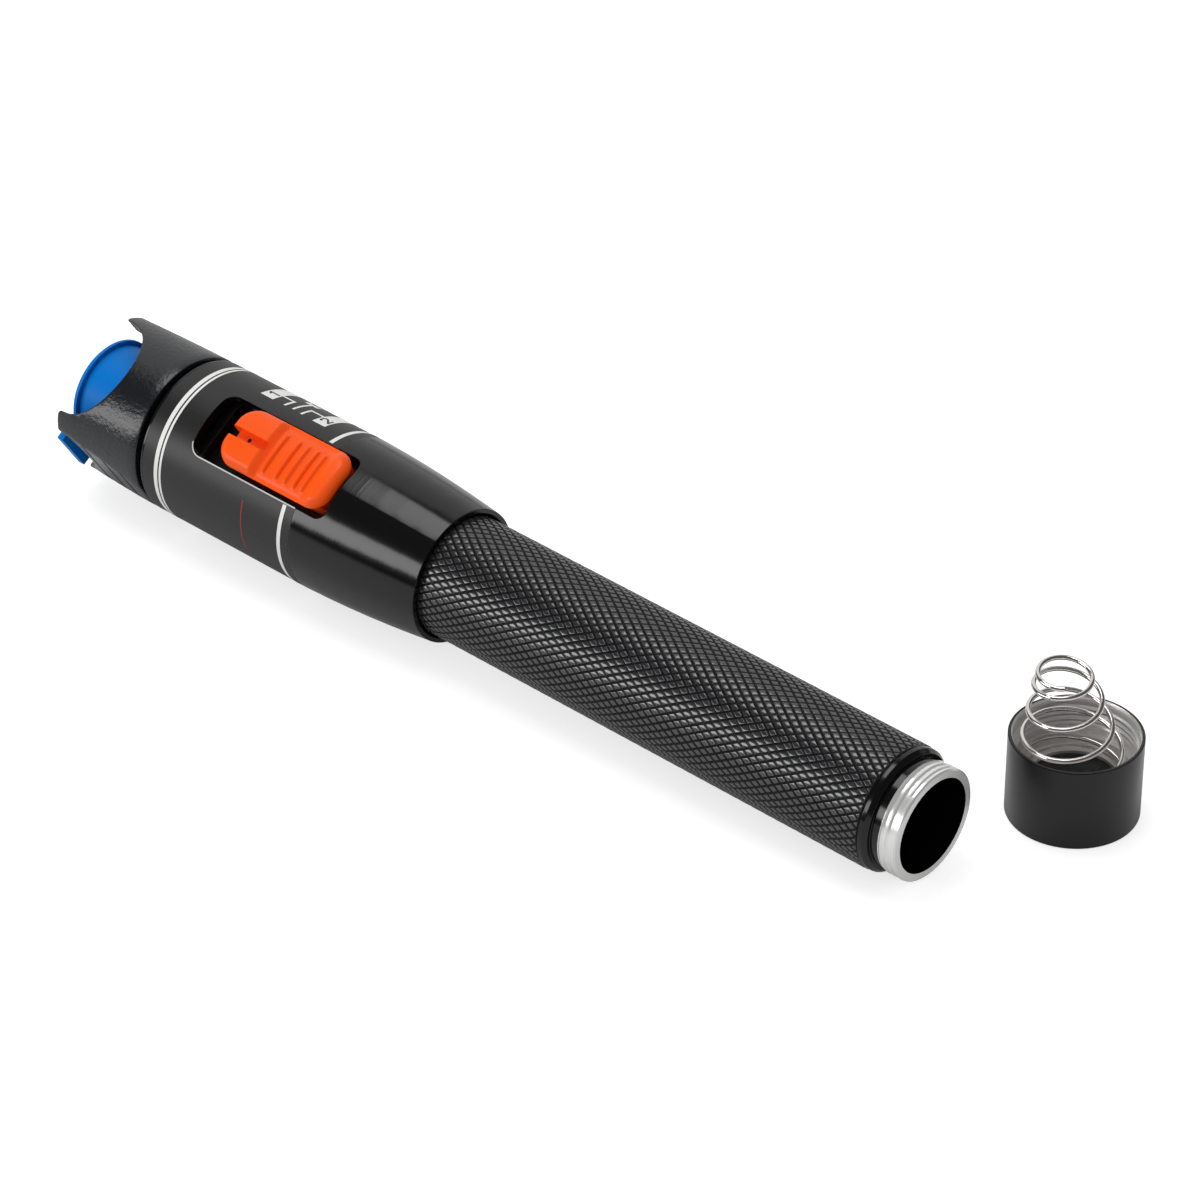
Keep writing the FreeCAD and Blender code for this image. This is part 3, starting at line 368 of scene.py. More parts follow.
def add_band(bm, rear, front, start, end):
    """A printed line round the film, from one angle to the other, in degrees from the window."""
    radius = FILM_RADIUS + PRINT_LIFT
    ends = [bm.verts.new(round_film(math.radians(start), height, radius)) for height in (rear, front)]
    edge = bm.edges.new(ends)
    bmesh.ops.spin(bm, geom=[edge], axis=(0, 0, 1), cent=(0, 0, 0), angle=math.radians(end - start),
                   steps=max(2, round(abs(end - start) / BAND_STEP)), use_duplicate=False)


def add_stroke(bm, points, width, lift):
    """A printed stroke laid on the film along points: degrees from the window, and a height."""
    radius = FILM_RADIUS + lift
    flat = [Vector((math.radians(angle) * radius, height, 0)) for angle, height in points]
    for start, end in zip(flat, flat[1:]):
        along = (end - start).normalized()
        across = Vector((-along.y, along.x, 0)) * width / 2
        start, end = start - along * width / 2, end + along * width / 2
        pieces = max(1, round((end - start).length / STROKE_STEP))
        middles = [start.lerp(end, share / pieces) for share in range(pieces + 1)]
        rungs = [[bm.verts.new(round_film(point.x / radius, point.y, radius))
                  for point in (middle - across, middle + across)] for middle in middles]
        for here, there in zip(rungs, rungs[1:]):
            bm.faces.new((here[0], there[0], there[1], here[1]))


def face_out(bm):
    """Turn every face of the print away from the pen's axis."""
    bm.normal_update()
    inward = [face for face in bm.faces if face.normal.xy.dot(face.calc_center_median().xy) < 0]
    bmesh.ops.reverse_faces(bm, faces=inward)


def window_rail(outset, lift):
    """Points along the window's edge on the thumb's side, from the film's rear end round the corner."""
    radius = FILM_RADIUS + lift
    half, front = WINDOW_WIDTH / 2 + outset, WINDOW_FRONT + outset
    corner = WINDOW_CORNER + outset
    straight = front - corner - FILM_REAR
    flat = [(-half, FILM_REAR + straight * step / RAIL_STEPS) for step in range(RAIL_STEPS)]
    for step in range(RAIL_STEPS):
        angle = math.radians(180 - 90 * step / RAIL_STEPS)
        flat.append((corner - half + corner * math.cos(angle), front - corner + corner * math.sin(angle)))
    return [(math.sqrt(radius * radius - across * across), across, height) for across, height in flat]


white = bmesh.new()
for rear, front in RINGS:
    add_band(white, rear, front, 0, 360)
add_band(white, *REAR_LINE, window_half_angle + REAR_LINE_GAP, 360 - window_half_angle - REAR_LINE_GAP)
for rear, near_angle, far_angle, digit in PLATES:
    add_band(white, rear, rear + PLATE_HEIGHT, near_angle, far_angle)
for points in LEADERS:
    add_stroke(white, points, LEADER_WIDTH, LEADER_LIFT)
bmesh.ops.remove_doubles(white, verts=white.verts[:], dist=1e-4)
face_out(white)
finish_piece("label_print", white, PEN, "pen", (print_white,))
digits = bmesh.new()
for rear, near_angle, far_angle, digit in PLATES:
    points = []
    for across, up in DIGITS[digit]:
        indent = math.degrees((DIGIT_INDENT + across) / FILM_RADIUS)
        points.append((near_angle + indent, rear + DIGIT_RISE + up))
    add_stroke(digits, points, DIGIT_WIDTH, DIGIT_LIFT)
face_out(digits)
finish_piece("label_digits", digits, PEN, "pen", (film,))
red = bmesh.new()
add_stroke(red, RED_RULE, RED_RULE_WIDTH, PRINT_LIFT)
face_out(red)
finish_piece("label_rule", red, PEN, "pen", (print_red,))
# A pale strip along the window's edge on the thumb's side: a painted highlight, standing in for light caught
# by the edge's chamfer.
rim = bmesh.new()
inner_rail, outer_rail = [[rim.verts.new(point) for point in window_rail(outset, lift)]
                          for outset, lift in zip((0.0, HIGHLIGHT_WIDTH), HIGHLIGHT_LIFT)]
for index in range(len(inner_rail) - 1):
    rim.faces.new((inner_rail[index], inner_rail[index + 1], outer_rail[index + 1], outer_rail[index]))
face_out(rim)
finish_piece("window_rim", rim, PEN, "pen", (painted_highlight,), sharp=80.0)

# Switch knob: orange plastic moulding with a fine satin skin, pressed on the switch's lever. It has a
# crowned top, a thumb scoop with five ridges and a notch in front. The hole that a core pin left in the
# notch's floor is not cut: a small dark disc there is painted shade.
KNOB_REAR = 112.25
KNOB_FRONT = 135.15
KNOB_NEAR = 5.15
KNOB_FAR = 5.4
KNOB_TOP = 14.4
KNOB_CROWN = 24.0
KNOB_REAR_CORNER = 3.2
KNOB_FRONT_CORNER = 3.4
KNOB_ROUNDING = 1.45
KNOB_LIP = 12.4
KNOB_LIP_DROP = 0.15
KNOB_SIDE_LEAST = 0.2
KNOB_UNDERCUT = 0.9
KNOB_FOOT = 9.0
SCOOP_DEPTH = 1.1
SCOOP_FRONT = (127.8, 126.3)
SCOOP_REAR = (114.4, 117.4)
RIDGES = (125.6, 122.85, 120.9, 119.0, 117.3)
RIDGE_HALF_WIDTH = 0.42
RIDGE_HEIGHT = 0.52
RIDGE_REACH = (3.7, 3.3)
NOTCH_HALF_WIDTH = 0.85
NOTCH_END = 127.1
NOTCH_FLOOR = 12.8
NOTCH_OPEN = 133.9
NOTCH_MOUTH_FLOOR = 9.4
CORE_HOLE_RADIUS = 0.36
CORE_HOLE_STATION = 131.4
CORE_HOLE_LIFT = 0.01
CORNER_STATIONS = 18
CORNER_START = 3
STATION_STEP = 0.12
TOP_STATIONS = 137
SIDE_SHARES = 20


def smooth_step(low, high, value):
    """0 up to the low value and 1 from the high one, with a soft slope between them."""
    share = min(max((value - low) / (high - low), 0), 1)
    return share * share * (3 - 2 * share)


def corner_at(z):
    """How far a height is from the nearer end of the knob, and the corner radius there."""
    rear, front = z - KNOB_REAR, KNOB_FRONT - z
    return (rear, KNOB_REAR_CORNER) if rear < front else (front, KNOB_FRONT_CORNER)


def knob_half(side, z):
    """Half width of the knob at a height, on its near or its far side."""
    away, corner = corner_at(z)
    return side - (corner - math.sqrt(max(corner * corner - (corner - away) ** 2, 0)) if away < corner else 0)


def knob_height(y, z):
    """Top of the knob, from the pen's axis."""
    away, corner = corner_at(z)
    inward = KNOB_FAR - y if y > 0 else KNOB_NEAR + y
    if inward < corner and away < corner:
        depth = corner - math.hypot(corner - inward, corner - away)
    else:
        depth = min(inward, away)
    depth = min(max(depth, 0), KNOB_ROUNDING)
    height = KNOB_TOP - y * y / (2 * KNOB_CROWN)
    height -= KNOB_ROUNDING - math.sqrt(KNOB_ROUNDING ** 2 - (KNOB_ROUNDING - depth) ** 2)
    height -= SCOOP_DEPTH * smooth_step(*SCOOP_FRONT, z) * smooth_step(*SCOOP_REAR, z)
    for ridge in RIDGES:
        share = 1 - ((z - ridge) / RIDGE_HALF_WIDTH) ** 2
        if share > 0:
            height += RIDGE_HEIGHT * math.sqrt(share) * smooth_step(*RIDGE_REACH, abs(y))
    return max(height, KNOB_LIP + KNOB_SIDE_LEAST)


def knob_section(station):
    """Outline across the knob. A station is a height, and whether it lies past a step at that height."""
    z = station[0]
    near, far = knob_half(KNOB_NEAR, z), knob_half(KNOB_FAR, z)
    near_top = [-NOTCH_HALF_WIDTH - (near - NOTCH_HALF_WIDTH) * share for share in reversed(side_shares)]
    far_top = [NOTCH_HALF_WIDTH + (far - NOTCH_HALF_WIDTH) * share for share in side_shares]
    section = [(knob_height(y, z), y) for y in near_top]
    notch_floor = NOTCH_MOUTH_FLOOR if station >= (NOTCH_OPEN, True) else NOTCH_FLOOR
    for y in (-NOTCH_HALF_WIDTH, NOTCH_HALF_WIDTH):
        section.append((notch_floor if station >= (NOTCH_END, True) else knob_height(y, z), y))
    section += [(knob_height(y, z), y) for y in far_top]
    if station >= (KNOB_REAR + KNOB_UNDERCUT, True):
        inset, lip, foot = KNOB_UNDERCUT, KNOB_LIP - KNOB_LIP_DROP, KNOB_FOOT
    else:
        inset, lip, foot = 0.0, KNOB_LIP, KNOB_LIP
    return section + [(KNOB_LIP, far), (lip, far - inset), (foot, far - inset), (foot, inset - near),
                      (lip, inset - near), (KNOB_LIP, -near)]


def add_strip(bm, here, there):
    """The faces between two closed rings of corners."""
    for index in range(len(here)):
        after = (index + 1) % len(here)
        bm.faces.new((here[index], here[after], there[after], there[index]))


orange = new_material("orange_plastic", (1.0, 0.098, 0.003), 0.33, Specular_IOR_Level=0.25)
add_grain(orange, grains=5000.0, strength=0.15, distance=0.00002)
# Near black for the small disc that is painted shade where the core pin's hole is.
painted_hole_shade = new_material("core_hole_shade", (0.01, 0.002, 0.001), 0.6)
corner_shares = [1 - math.cos(math.radians(CORNER_START + (90 - CORNER_START) * step / CORNER_STATIONS))
                 for step in range(CORNER_STATIONS + 1)]
side_shares = [math.sin(math.radians(90 * step / SIDE_SHARES)) for step in range(SIDE_SHARES + 1)]
steps_down = (KNOB_REAR + KNOB_UNDERCUT, NOTCH_END, NOTCH_OPEN)
heights = [
    *[KNOB_REAR + KNOB_REAR_CORNER * share for share in corner_shares],
    *[KNOB_FRONT - KNOB_FRONT_CORNER * share for share in corner_shares],
    *[KNOB_REAR + KNOB_REAR_CORNER + STATION_STEP * step for step in range(1, TOP_STATIONS + 1)],
    *steps_down,
]
stations = sorted([(z, False) for z in heights] + [(z, True) for z in steps_down])
knob = bmesh.new()
sections = [[knob.verts.new((x, y, station[0])) for x, y in knob_section(station)] for station in stations]
for here, there in zip(sections, sections[1:]):
    add_strip(knob, here, there)
knob.faces.new(sections[0])
knob.faces.new(sections[-1])
bmesh.ops.remove_doubles(knob, verts=knob.verts[:], dist=1e-4)
bmesh.ops.dissolve_degenerate(knob, edges=knob.edges[:], dist=1e-4)
bmesh.ops.recalc_face_normals(knob, faces=knob.faces[:])
# A small dark disc on the notch's floor: painted shade standing in for the core pin's hole.
hole_place = Matrix.Translation((NOTCH_FLOOR + CORE_HOLE_LIFT, 0, CORE_HOLE_STATION))
mark = bmesh.ops.create_circle(knob, cap_ends=True, segments=20, radius=CORE_HOLE_RADIUS,
                               matrix=hole_place @ Matrix.Rotation(math.radians(90), 4, "Y"))
for face in {face for corner in mark["verts"] for face in corner.link_faces}:
    face.material_index = 1
    face.normal_update()
    if face.normal.x < 0:
        face.normal_flip()
finish_piece("ridged_knob", knob, PEN, "slider", (orange, painted_hole_shade),
             nodes=("switch_knob",), sharp=45.0)

# Guide tray, shutter and lever: glossy black plastic mouldings in and under the window. The tray is held
# in the housing. The shutter and the switch's lever slide with the knob.
black_plastic = new_material("black_plastic", (0.005, 0.005, 0.005), 0.25)
add_rounding(black_plastic, 0.0002)
dress(black_plastic, "guide_tray", "knob_carriage", "switch_lever")

# Bezel: turned ring with four claws, cross-drilled from two sides and painted gloss black, so that the
# skin is a little like orange peel. Two flats under the claws have three grip grooves each. It is
# pressed on the housing's spigot.
BEZEL_RADIUS = 13.05
BEZEL_BORE = 10.75
BEZEL_REAR = 151.3
BEZEL_TIP = 169.35
REAR_EDGE = 0.3
REAR_EDGE_MIDDLE = 0.09
SPIGOT_BORE = 12.05
SEAT_SHOULDER = 156.3
CLAW_ROUNDING = 0.45
BORE_ROUNDING = 0.35
SIDE_VALLEY = (9.2, 168.5)
TAB_VALLEY = (6.44, 171.94, 5.9)
TAB_VALLEY_SLOPE = 1.6
HINGE_VALLEY = (5.3, 164.6, 0.9)
VALLEY_SOFTNESS = 0.5
DRILLED_SHARE = 0.4
FLAT_AT_REAR = 12.79
FLAT_SLOPE = 0.0744
FLAT_RUN_IN = 0.12
LEAST_SINE = 0.1
FLAT_GROOVES = (155.4, 159.2, 163.7)
FLAT_GROOVE_HALF_WIDTH = 0.32
FLAT_GROOVE_DEPTH = 0.3
GROOVE_SHARES = (-1, -0.85, -0.5, 0, 0.5, 0.85, 1)
WALL_ROWS = (151.6, 153.4, 157.3, 161.4, 165.6)
TOP_OFFSETS = (0.03, 0.12, 0.27, CLAW_ROUNDING, 0.95, 1.4)
BORE_OFFSETS = (BORE_ROUNDING, 0.15, 0.04, 0.0)
BEZEL_COLUMNS = 1080


def rounding_drop(offset, radius):
    """How far a rounded edge has dropped, this far in from the edge."""
    return radius - math.sqrt(max(radius * radius - (radius - offset) ** 2, 0)) if offset < radius else 0.0


def valley_height(reach, radius, middle):
    """Height of a drilled valley's floor, this far aside from the drill's axis."""
    return middle - math.sqrt(radius * radius - reach * reach)


def soft_lowest(first, second, softness):
    """The lower of two heights, with the corner between them rounded."""
    share = max(softness - abs(first - second), 0) / softness
    return min(first, second) - share * share * softness / 4


def side_valley(reach):
    """Top of the ring on the window's side and the side across from it."""
    radius, middle = SIDE_VALLEY
    if reach < radius:
        return valley_height(reach, radius, middle)
    return BEZEL_TIP - rounding_drop(reach - radius, BEZEL_TIP - middle)


def tab_valley(reach):
    """Top of the ring on the thumb tab's side."""
    radius, middle, half = TAB_VALLEY
    if reach < half:
        return valley_height(reach, radius, middle)
    return valley_height(half, radius, middle) + (reach - half) * TAB_VALLEY_SLOPE


def hinge_valley(reach):
    """Top of the ring on the hinge's side."""
    radius, middle, flare = HINGE_VALLEY
    if reach < radius:
        return valley_height(reach, radius, middle)
    return middle + (reach - radius) / flare * (BEZEL_TIP - middle)


def claw_height(across, along):
    """How far the bezel reaches forward at a place of its ring: toward the window and the hinge."""
    side = front = BEZEL_TIP
    if abs(across) > BEZEL_BORE * DRILLED_SHARE:
        side = side_valley(abs(along))
    if abs(along) > BEZEL_BORE * DRILLED_SHARE:
        valley = tab_valley if along < 0 else hinge_valley
        front = soft_lowest(valley(abs(across)), BEZEL_TIP, VALLEY_SOFTNESS)
    return min(side, front)


def bezel_outside(angle, height):
    """Outer radius of the bezel, where the two flats and their grooves take some of it away."""
    across = max(abs(math.sin(angle)), LEAST_SINE)
    flat = (FLAT_AT_REAR - FLAT_SLOPE * (height - BEZEL_REAR)) / across
    if flat >= BEZEL_RADIUS:
        return BEZEL_RADIUS
    run_in = min((BEZEL_RADIUS - flat) / FLAT_RUN_IN, 1.0)
    off_groove = min(abs(height - groove) for groove in FLAT_GROOVES) / FLAT_GROOVE_HALF_WIDTH
    return flat - FLAT_GROOVE_DEPTH * run_in * math.sqrt(max(1 - off_groove * off_groove, 0)) / across


def bezel_column(angle):
    """Outline through the ring's wall at an angle, as (radius, height) points."""
    toward, aside = math.cos(angle), math.sin(angle)
    top = claw_height(BEZEL_RADIUS * toward, BEZEL_RADIUS * aside) - CLAW_ROUNDING
    rear_reach, reach = bezel_outside(angle, BEZEL_REAR), bezel_outside(angle, top)
    column = [(SPIGOT_BORE, BEZEL_REAR), (rear_reach - REAR_EDGE, BEZEL_REAR),
              (rear_reach - REAR_EDGE_MIDDLE, BEZEL_REAR + REAR_EDGE_MIDDLE)]
    for height in [min(row, top) for row in wall_rows] + [top]:
        column.append((bezel_outside(angle, height), height))
    for offset in [*TOP_OFFSETS, *[wall - left for left in BORE_OFFSETS]]:
        radius = reach - offset * (reach - BEZEL_BORE) / wall
        height = claw_height(radius * toward, radius * aside)
        height -= max(rounding_drop(offset, CLAW_ROUNDING), rounding_drop(wall - offset, BORE_ROUNDING))
        column.append((radius, height))
    return column + [(BEZEL_BORE, SEAT_SHOULDER), (SPIGOT_BORE, SEAT_SHOULDER)]


paint = new_material("bezel_paint", (0.006, 0.007, 0.01), 0.27, IOR=1.6)
peel = add_grain(paint, grains=1500.0, strength=0.7, distance=0.00012, Detail=3.0)
add_rounding(paint, 0.0003, peel)
wall = BEZEL_RADIUS - BEZEL_BORE
wall_rows = sorted([*WALL_ROWS, *[groove + FLAT_GROOVE_HALF_WIDTH * share
                                  for groove in FLAT_GROOVES for share in GROOVE_SHARES]])
ring = bmesh.new()
columns = []
for column in range(BEZEL_COLUMNS):
    angle = math.tau * column / BEZEL_COLUMNS
    columns.append([ring.verts.new((radius * math.cos(angle), radius * math.sin(angle), height))
                    for radius, height in bezel_column(angle)])
for here, there in zip(columns, columns[1:] + columns[:1]):
    add_strip(ring, here, there)
bmesh.ops.remove_doubles(ring, verts=ring.verts[:], dist=1e-4)
bmesh.ops.recalc_face_normals(ring, faces=ring.faces[:])
finish_piece("claw_bezel", ring, PEN, "pen", (paint,), nodes=("bezel",), sharp=38.0)

# Dust cap: lid of the port, moulded in blue plastic with a thumb tab and a fine groove just inside its
# rim. It turns on the hinge pin.
BLUE = (0.0, 0.18, 0.62)
LID_GROOVE_RADIUS = 8.25
LID_GROOVE_HALF_WIDTH = 0.16
LID_GROOVE_DEPTH = 0.2
blue = new_material("blue_plastic", BLUE, 0.4, Specular_IOR_Level=0.1)
blue_tree = blue.node_tree
off_axis = add_node(blue_tree, "ShaderNodeMapping", Vector=along_pen(blue), Scale=(1 / MM, 1 / MM, 0.0))
reach = add_maths(blue_tree, "ShaderNodeVectorMath", "LENGTH", off_axis.outputs["Vector"])
off_groove = add_maths(blue_tree, "ShaderNodeMath", "SUBTRACT", reach, LID_GROOVE_RADIUS)
away = add_maths(blue_tree, "ShaderNodeMath", "ABSOLUTE", off_groove)
level = add_node(blue_tree, "ShaderNodeMapRange", Value=away, From_Max=LID_GROOVE_HALF_WIDTH)
level.interpolation_type = "SMOOTHSTEP"
groove = add_bump(blue, level.outputs["Result"], strength=0.8, distance=LID_GROOVE_DEPTH * MM)
add_rounding(blue, 0.0003, groove)
dress(blue, "dust_cap")

# Cap seat: collar under the lid, moulded in the same blue plastic and clamped under the bezel. Its two
# ears carry the lid's hinge.
blue_seat = new_material("blue_plastic_seat", BLUE, 0.4, Specular_IOR_Level=0.1)
add_rounding(blue_seat, 0.0002)
dress(blue_seat, "cap_seat")

# Hinge pin: a short length of drawn steel wire. It is pressed in the two ears of the seat, and the lid
# turns on it.
steel = new_material("drawn_steel", (0.6, 0.59, 0.57), 0.25, metallic=1.0)
dress(steel, "hinge_pin")

# Port plate, barrel and nut: turned brass and aluminium, nickel plated. The barrel goes through the
# plate, and the nut holds it from behind.
nickel = new_material("nickel_plate", (0.72, 0.7, 0.66), 0.2, metallic=1.0)
add_rounding(nickel, 0.0001)
dress(nickel, "port_plate", "port_barrel", "port_nut")

# Ceramic sleeve: ground white zirconia, split along its length so that it grips the ferrule. It sits
# loose in the barrel.
ceramic = new_material("zirconia", (0.86, 0.85, 0.81), 0.2)
dress(ceramic, "ceramic_sleeve")

# Laser holder: turned brass barrel, bonded to the rear end of the port. It keeps lens and laser in line
# with the ferrule.
brass = new_material("brass", (0.78, 0.55, 0.24), 0.25, metallic=1.0)
dress(brass, "laser_holder")

# Collimating lens: a small lens of ground and polished glass. It is glued in the holder, in front of
# the laser.
glass = new_material("lens_glass", (1.0, 1.0, 1.0), 0.0, Transmission_Weight=1.0, IOR=1.52)
dress(glass, "collimating_lens")

# Laser diode: gilt can with three leads. It is glued in the rear end of the holder, with its leads
# toward the board.
gilt = new_material("gilt_can", (0.9, 0.66, 0.3), 0.22, metallic=1.0)
dress(gilt, "laser_diode")

# Circuit board: green glass-fibre board that drives the laser. It stands along the pen, between the
# contact carrier and the laser.
board_green = new_material("board_green", (0.01, 0.12, 0.045), 0.35)
dress(board_green, "circuit_board")

# Driver chip and capacitors: a chip moulded in black resin, and two small cans in printed film. All are
# soldered on the board.
chip_black = new_material("chip_black", (0.012, 0.012, 0.012), 0.5)
dress(chip_black, "driver_chip")
sleeve_film = new_material("capacitor_film", (0.02, 0.03, 0.09), 0.35)
dress(sleeve_film, "capacitors")

# Slide switch: folded steel can, soldered on the board. The lever on top of it slides along with the
# knob.
dress(steel, "slide_switch")

# Contact carrier: black moulded disc at the front end of the battery bore. The brass button in it takes
# the current from the first cell.
dress(chip_black, "contact_carrier")
dress(brass, "front_contact")

# Tail cap: turned aluminium cup, anodised black, its mouth bored and threaded afterwards so that the
# inside is bright. It stands on its closed end beside the pen. The floor inside keeps its black skin.
CUP_RADIUS = 10.1
CUP_EDGE = 0.3
CUP_EDGE_MIDDLE = 0.09
CUP_HEIGHT = 13.7
CUP_LIP = 0.1
CUP_MOUTH = 9.62
CUP_MOUTH_DEPTH = 0.35
CUP_THREAD = 9.38
CUP_THREAD_END = 7.5
CUP_THREAD_START = 8.6
CUP_THREAD_TURNS = 3.4
CUP_CREST = 9.08
CUP_WELL = 8.5
CUP_WELL_TOP = 7.3
CUP_LEDGE = 6.5
CUP_LEDGE_TOP = 6.0
CUP_FLOOR = 5.5
FLOOR_MARGIN = 0.1
CUP_STEPS = 128
CUP_BRIGHT, CUP_INNER_FLOOR = 1, 2
cup_corners = [Vector(corner) for corner in frame["nodes"]["tail_cap"].bound_box]
cup_axis = sum(cup_corners, Vector()) / len(cup_corners)
cup_axis.z = min(corner.z for corner in cup_corners)
CUP = Matrix.Translation(cup_axis) @ Matrix.Scale(MM, 4)
cup_black = new_material("cup_anodised", (0.0025, 0.0025, 0.003), 0.2)
add_turning_marks(cup_black, piece_place(cup_black), marks=5200.0, strength=0.3, distance=0.00002)
cup_bright = new_material("cup_bright_bore", (0.93, 0.92, 0.9), 0.25, metallic=0.7)
add_turning_marks(cup_bright, piece_place(cup_bright), marks=1500.0, strength=0.9, distance=0.00012)
cup_floor = new_material("cup_floor", (0.004, 0.004, 0.005), 0.22)
floor_tree = cup_floor.node_tree
centred = add_node(floor_tree, "ShaderNodeMapping", Vector=piece_place(cup_floor),
                   Location=(-cup_axis.x, -cup_axis.y, 0.0), Scale=(1.0, 1.0, 0.0))
reach = add_maths(floor_tree, "ShaderNodeVectorMath", "LENGTH", centred.outputs["Vector"])
outward = add_node(floor_tree, "ShaderNodeCombineXYZ", Z=reach)
add_turning_marks(cup_floor, outward.outputs["Vector"], marks=4500.0, strength=0.8, distance=0.00006)
cup = turn_outline([
    (0, 0),
    (CUP_RADIUS - CUP_EDGE, 0),
    (CUP_RADIUS - CUP_EDGE_MIDDLE, CUP_EDGE_MIDDLE),
    (CUP_RADIUS, CUP_EDGE),
    (CUP_RADIUS, CUP_HEIGHT - CUP_LIP),
    (CUP_RADIUS - CUP_LIP, CUP_HEIGHT),
    (CUP_MOUTH, CUP_HEIGHT),
    (CUP_THREAD, CUP_HEIGHT - CUP_MOUTH_DEPTH),
    (CUP_THREAD, CUP_THREAD_END),
    (CUP_WELL, CUP_WELL_TOP),
    (CUP_WELL, CUP_LEDGE_TOP),
    (CUP_LEDGE, CUP_LEDGE_TOP),
    (CUP_LEDGE, CUP_FLOOR),
    (0, CUP_FLOOR),
], steps=CUP_STEPS, closed=False)
for face in cup.faces:
    centre = face.calc_center_median()
    if centre.z > CUP_FLOOR + FLOOR_MARGIN and centre.xy.length < CUP_MOUTH:
        face.material_index = CUP_BRIGHT
    elif centre.z > CUP_EDGE and centre.xy.length < CUP_LEDGE:
        face.material_index = CUP_INNER_FLOOR
add_thread(cup, CUP_THREAD, CUP_CREST - CUP_THREAD, CUP_THREAD_START, CUP_THREAD_TURNS, CUP_BRIGHT,
           steps_per_turn=96)
finish_piece("screw_cap", cup, CUP, "tail_cap", (cup_black, cup_bright, cup_floor),
             nodes=("tail_cap",), sharp=28.0)

# Tail spring: bright drawn wire wound to a cone, its widest turn pressed in the cap. The turns lean
# over a little, as they do in the photograph.
WIRE_RADIUS = 0.4
SPRING_HEIGHT = 19.7
SPRING_BASE = 8.0
SPRING_TIP = 4.25
SPRING_LEAN = 2.45
SPRING_END = -93.0
SPRING_DIP = 7.0
CAP_TURN = 41.5
BASE_TURNS, CONE_TURNS, TIP_TURNS = 1.1, 3.84, 1.0
TOTAL_TURNS = BASE_TURNS + CONE_TURNS + TIP_TURNS
WIDE_TURNS, NARROWING_TURNS = 2.19, 3.15
TIP_RISE = TIP_TURNS * WIRE_RADIUS * 3
LOOK_AHEAD = 0.002
WIRE_STEPS_PER_TURN = 44
WIRE_SIDES = 14


def wire_point(turns):
    """Middle of the wire, this many turns from the end that rests on the cap's floor."""
    along = min(max((turns - BASE_TURNS) / CONE_TURNS, 0), 1)
    beyond = max(turns - BASE_TURNS - CONE_TURNS, 0)
    narrowing = min(max((turns - WIDE_TURNS) / NARROWING_TURNS, 0), 1)
    climb = SPRING_HEIGHT - TIP_RISE - WIRE_RADIUS * 2
    height = CUP_FLOOR + WIRE_RADIUS + climb * along + beyond / TIP_TURNS * TIP_RISE
    radius = (SPRING_BASE - WIRE_RADIUS) - (SPRING_BASE - SPRING_TIP) * narrowing
    lean = SPRING_LEAN * (height - CUP_FLOOR) / SPRING_HEIGHT
    angle = math.tau * (turns - TOTAL_TURNS) + math.radians(SPRING_END)
    height += math.tan(math.radians(SPRING_DIP)) * radius * math.sin(angle) * min(along * 3, 1)
    return Vector((radius * math.cos(angle) - lean, radius * math.sin(angle), height))


def wire_frame(turns):
    """Where a section of the wire sits: its Z axis runs along the wire."""
    ahead = (wire_point(turns + LOOK_AHEAD) - wire_point(turns - LOOK_AHEAD)).normalized()
    across = ahead.cross(Vector((0, 0, 1))).normalized()
    turn = Matrix((across, ahead.cross(across), ahead)).transposed()
    return Matrix.Translation(wire_point(turns)) @ turn.to_4x4()


wire_steel = new_material("spring_wire", (0.92, 0.89, 0.86), 0.08, metallic=1.0)
wire = bmesh.new()
here = wire_frame(0)
bmesh.ops.create_circle(wire, cap_ends=False, segments=WIRE_SIDES, radius=WIRE_RADIUS, matrix=here)
loop = wire.edges[:]
bmesh.ops.contextual_create(wire, geom=loop)
wire_steps = round(TOTAL_TURNS * WIRE_STEPS_PER_TURN)
for step in range(wire_steps):
    there = wire_frame(TOTAL_TURNS * (step + 1) / wire_steps)
    grown = bmesh.ops.extrude_edge_only(wire, edges=loop)["geom"]
    fresh = [item for item in grown if isinstance(item, bmesh.types.BMVert)]
    edges = [item for item in grown if isinstance(item, bmesh.types.BMEdge)]
    loop = [edge for edge in edges if all(end in fresh for end in edge.verts)]
    bmesh.ops.transform(wire, matrix=there @ here.inverted(), verts=fresh)
    here = there
bmesh.ops.contextual_create(wire, geom=loop)
bmesh.ops.recalc_face_normals(wire, faces=wire.faces[:])
finish_piece("cone_spring", wire, CUP @ Matrix.Rotation(math.radians(CAP_TURN), 4, "Z"), "tail_cap",
             (wire_steel,), nodes=("tail_spring",), sharp=60.0)

# Studio: white floor, one tall soft light on the left, one overhead, and a broad weak one behind as a
# white wall would be. The camera sees the floor as white, and shiny pieces see a little of that; past a
# line a little to the left of the pen they see it black, a painted dark reflection.
FLOOR_HALF = 3.0
FLOOR_GREY = 0.6
FLOOR_GLOW = 0.68
LEFTWARD = math.radians(-127)
DARK_REFLECTION_LINE = (0.14, 0.2)
GLOSSY_SHARE = 0.15
WORLD_DIFFUSE = 0.55
WORLD_GLOSSY = 0.09
ground = bmesh.new()
bmesh.ops.create_grid(ground, x_segments=1, y_segments=1, size=FLOOR_HALF)
floor_mesh = bpy.data.meshes.new("floor")
ground.to_mesh(floor_mesh)
ground.free()
floor_white = new_material("floor_white", (FLOOR_GREY,) * 3, 0.9, Specular_IOR_Level=0.0,
                           Emission_Color=(1, 1, 1, 1))
tree = floor_white.node_tree
rays = add_node(tree, "ShaderNodeLightPath").outputs
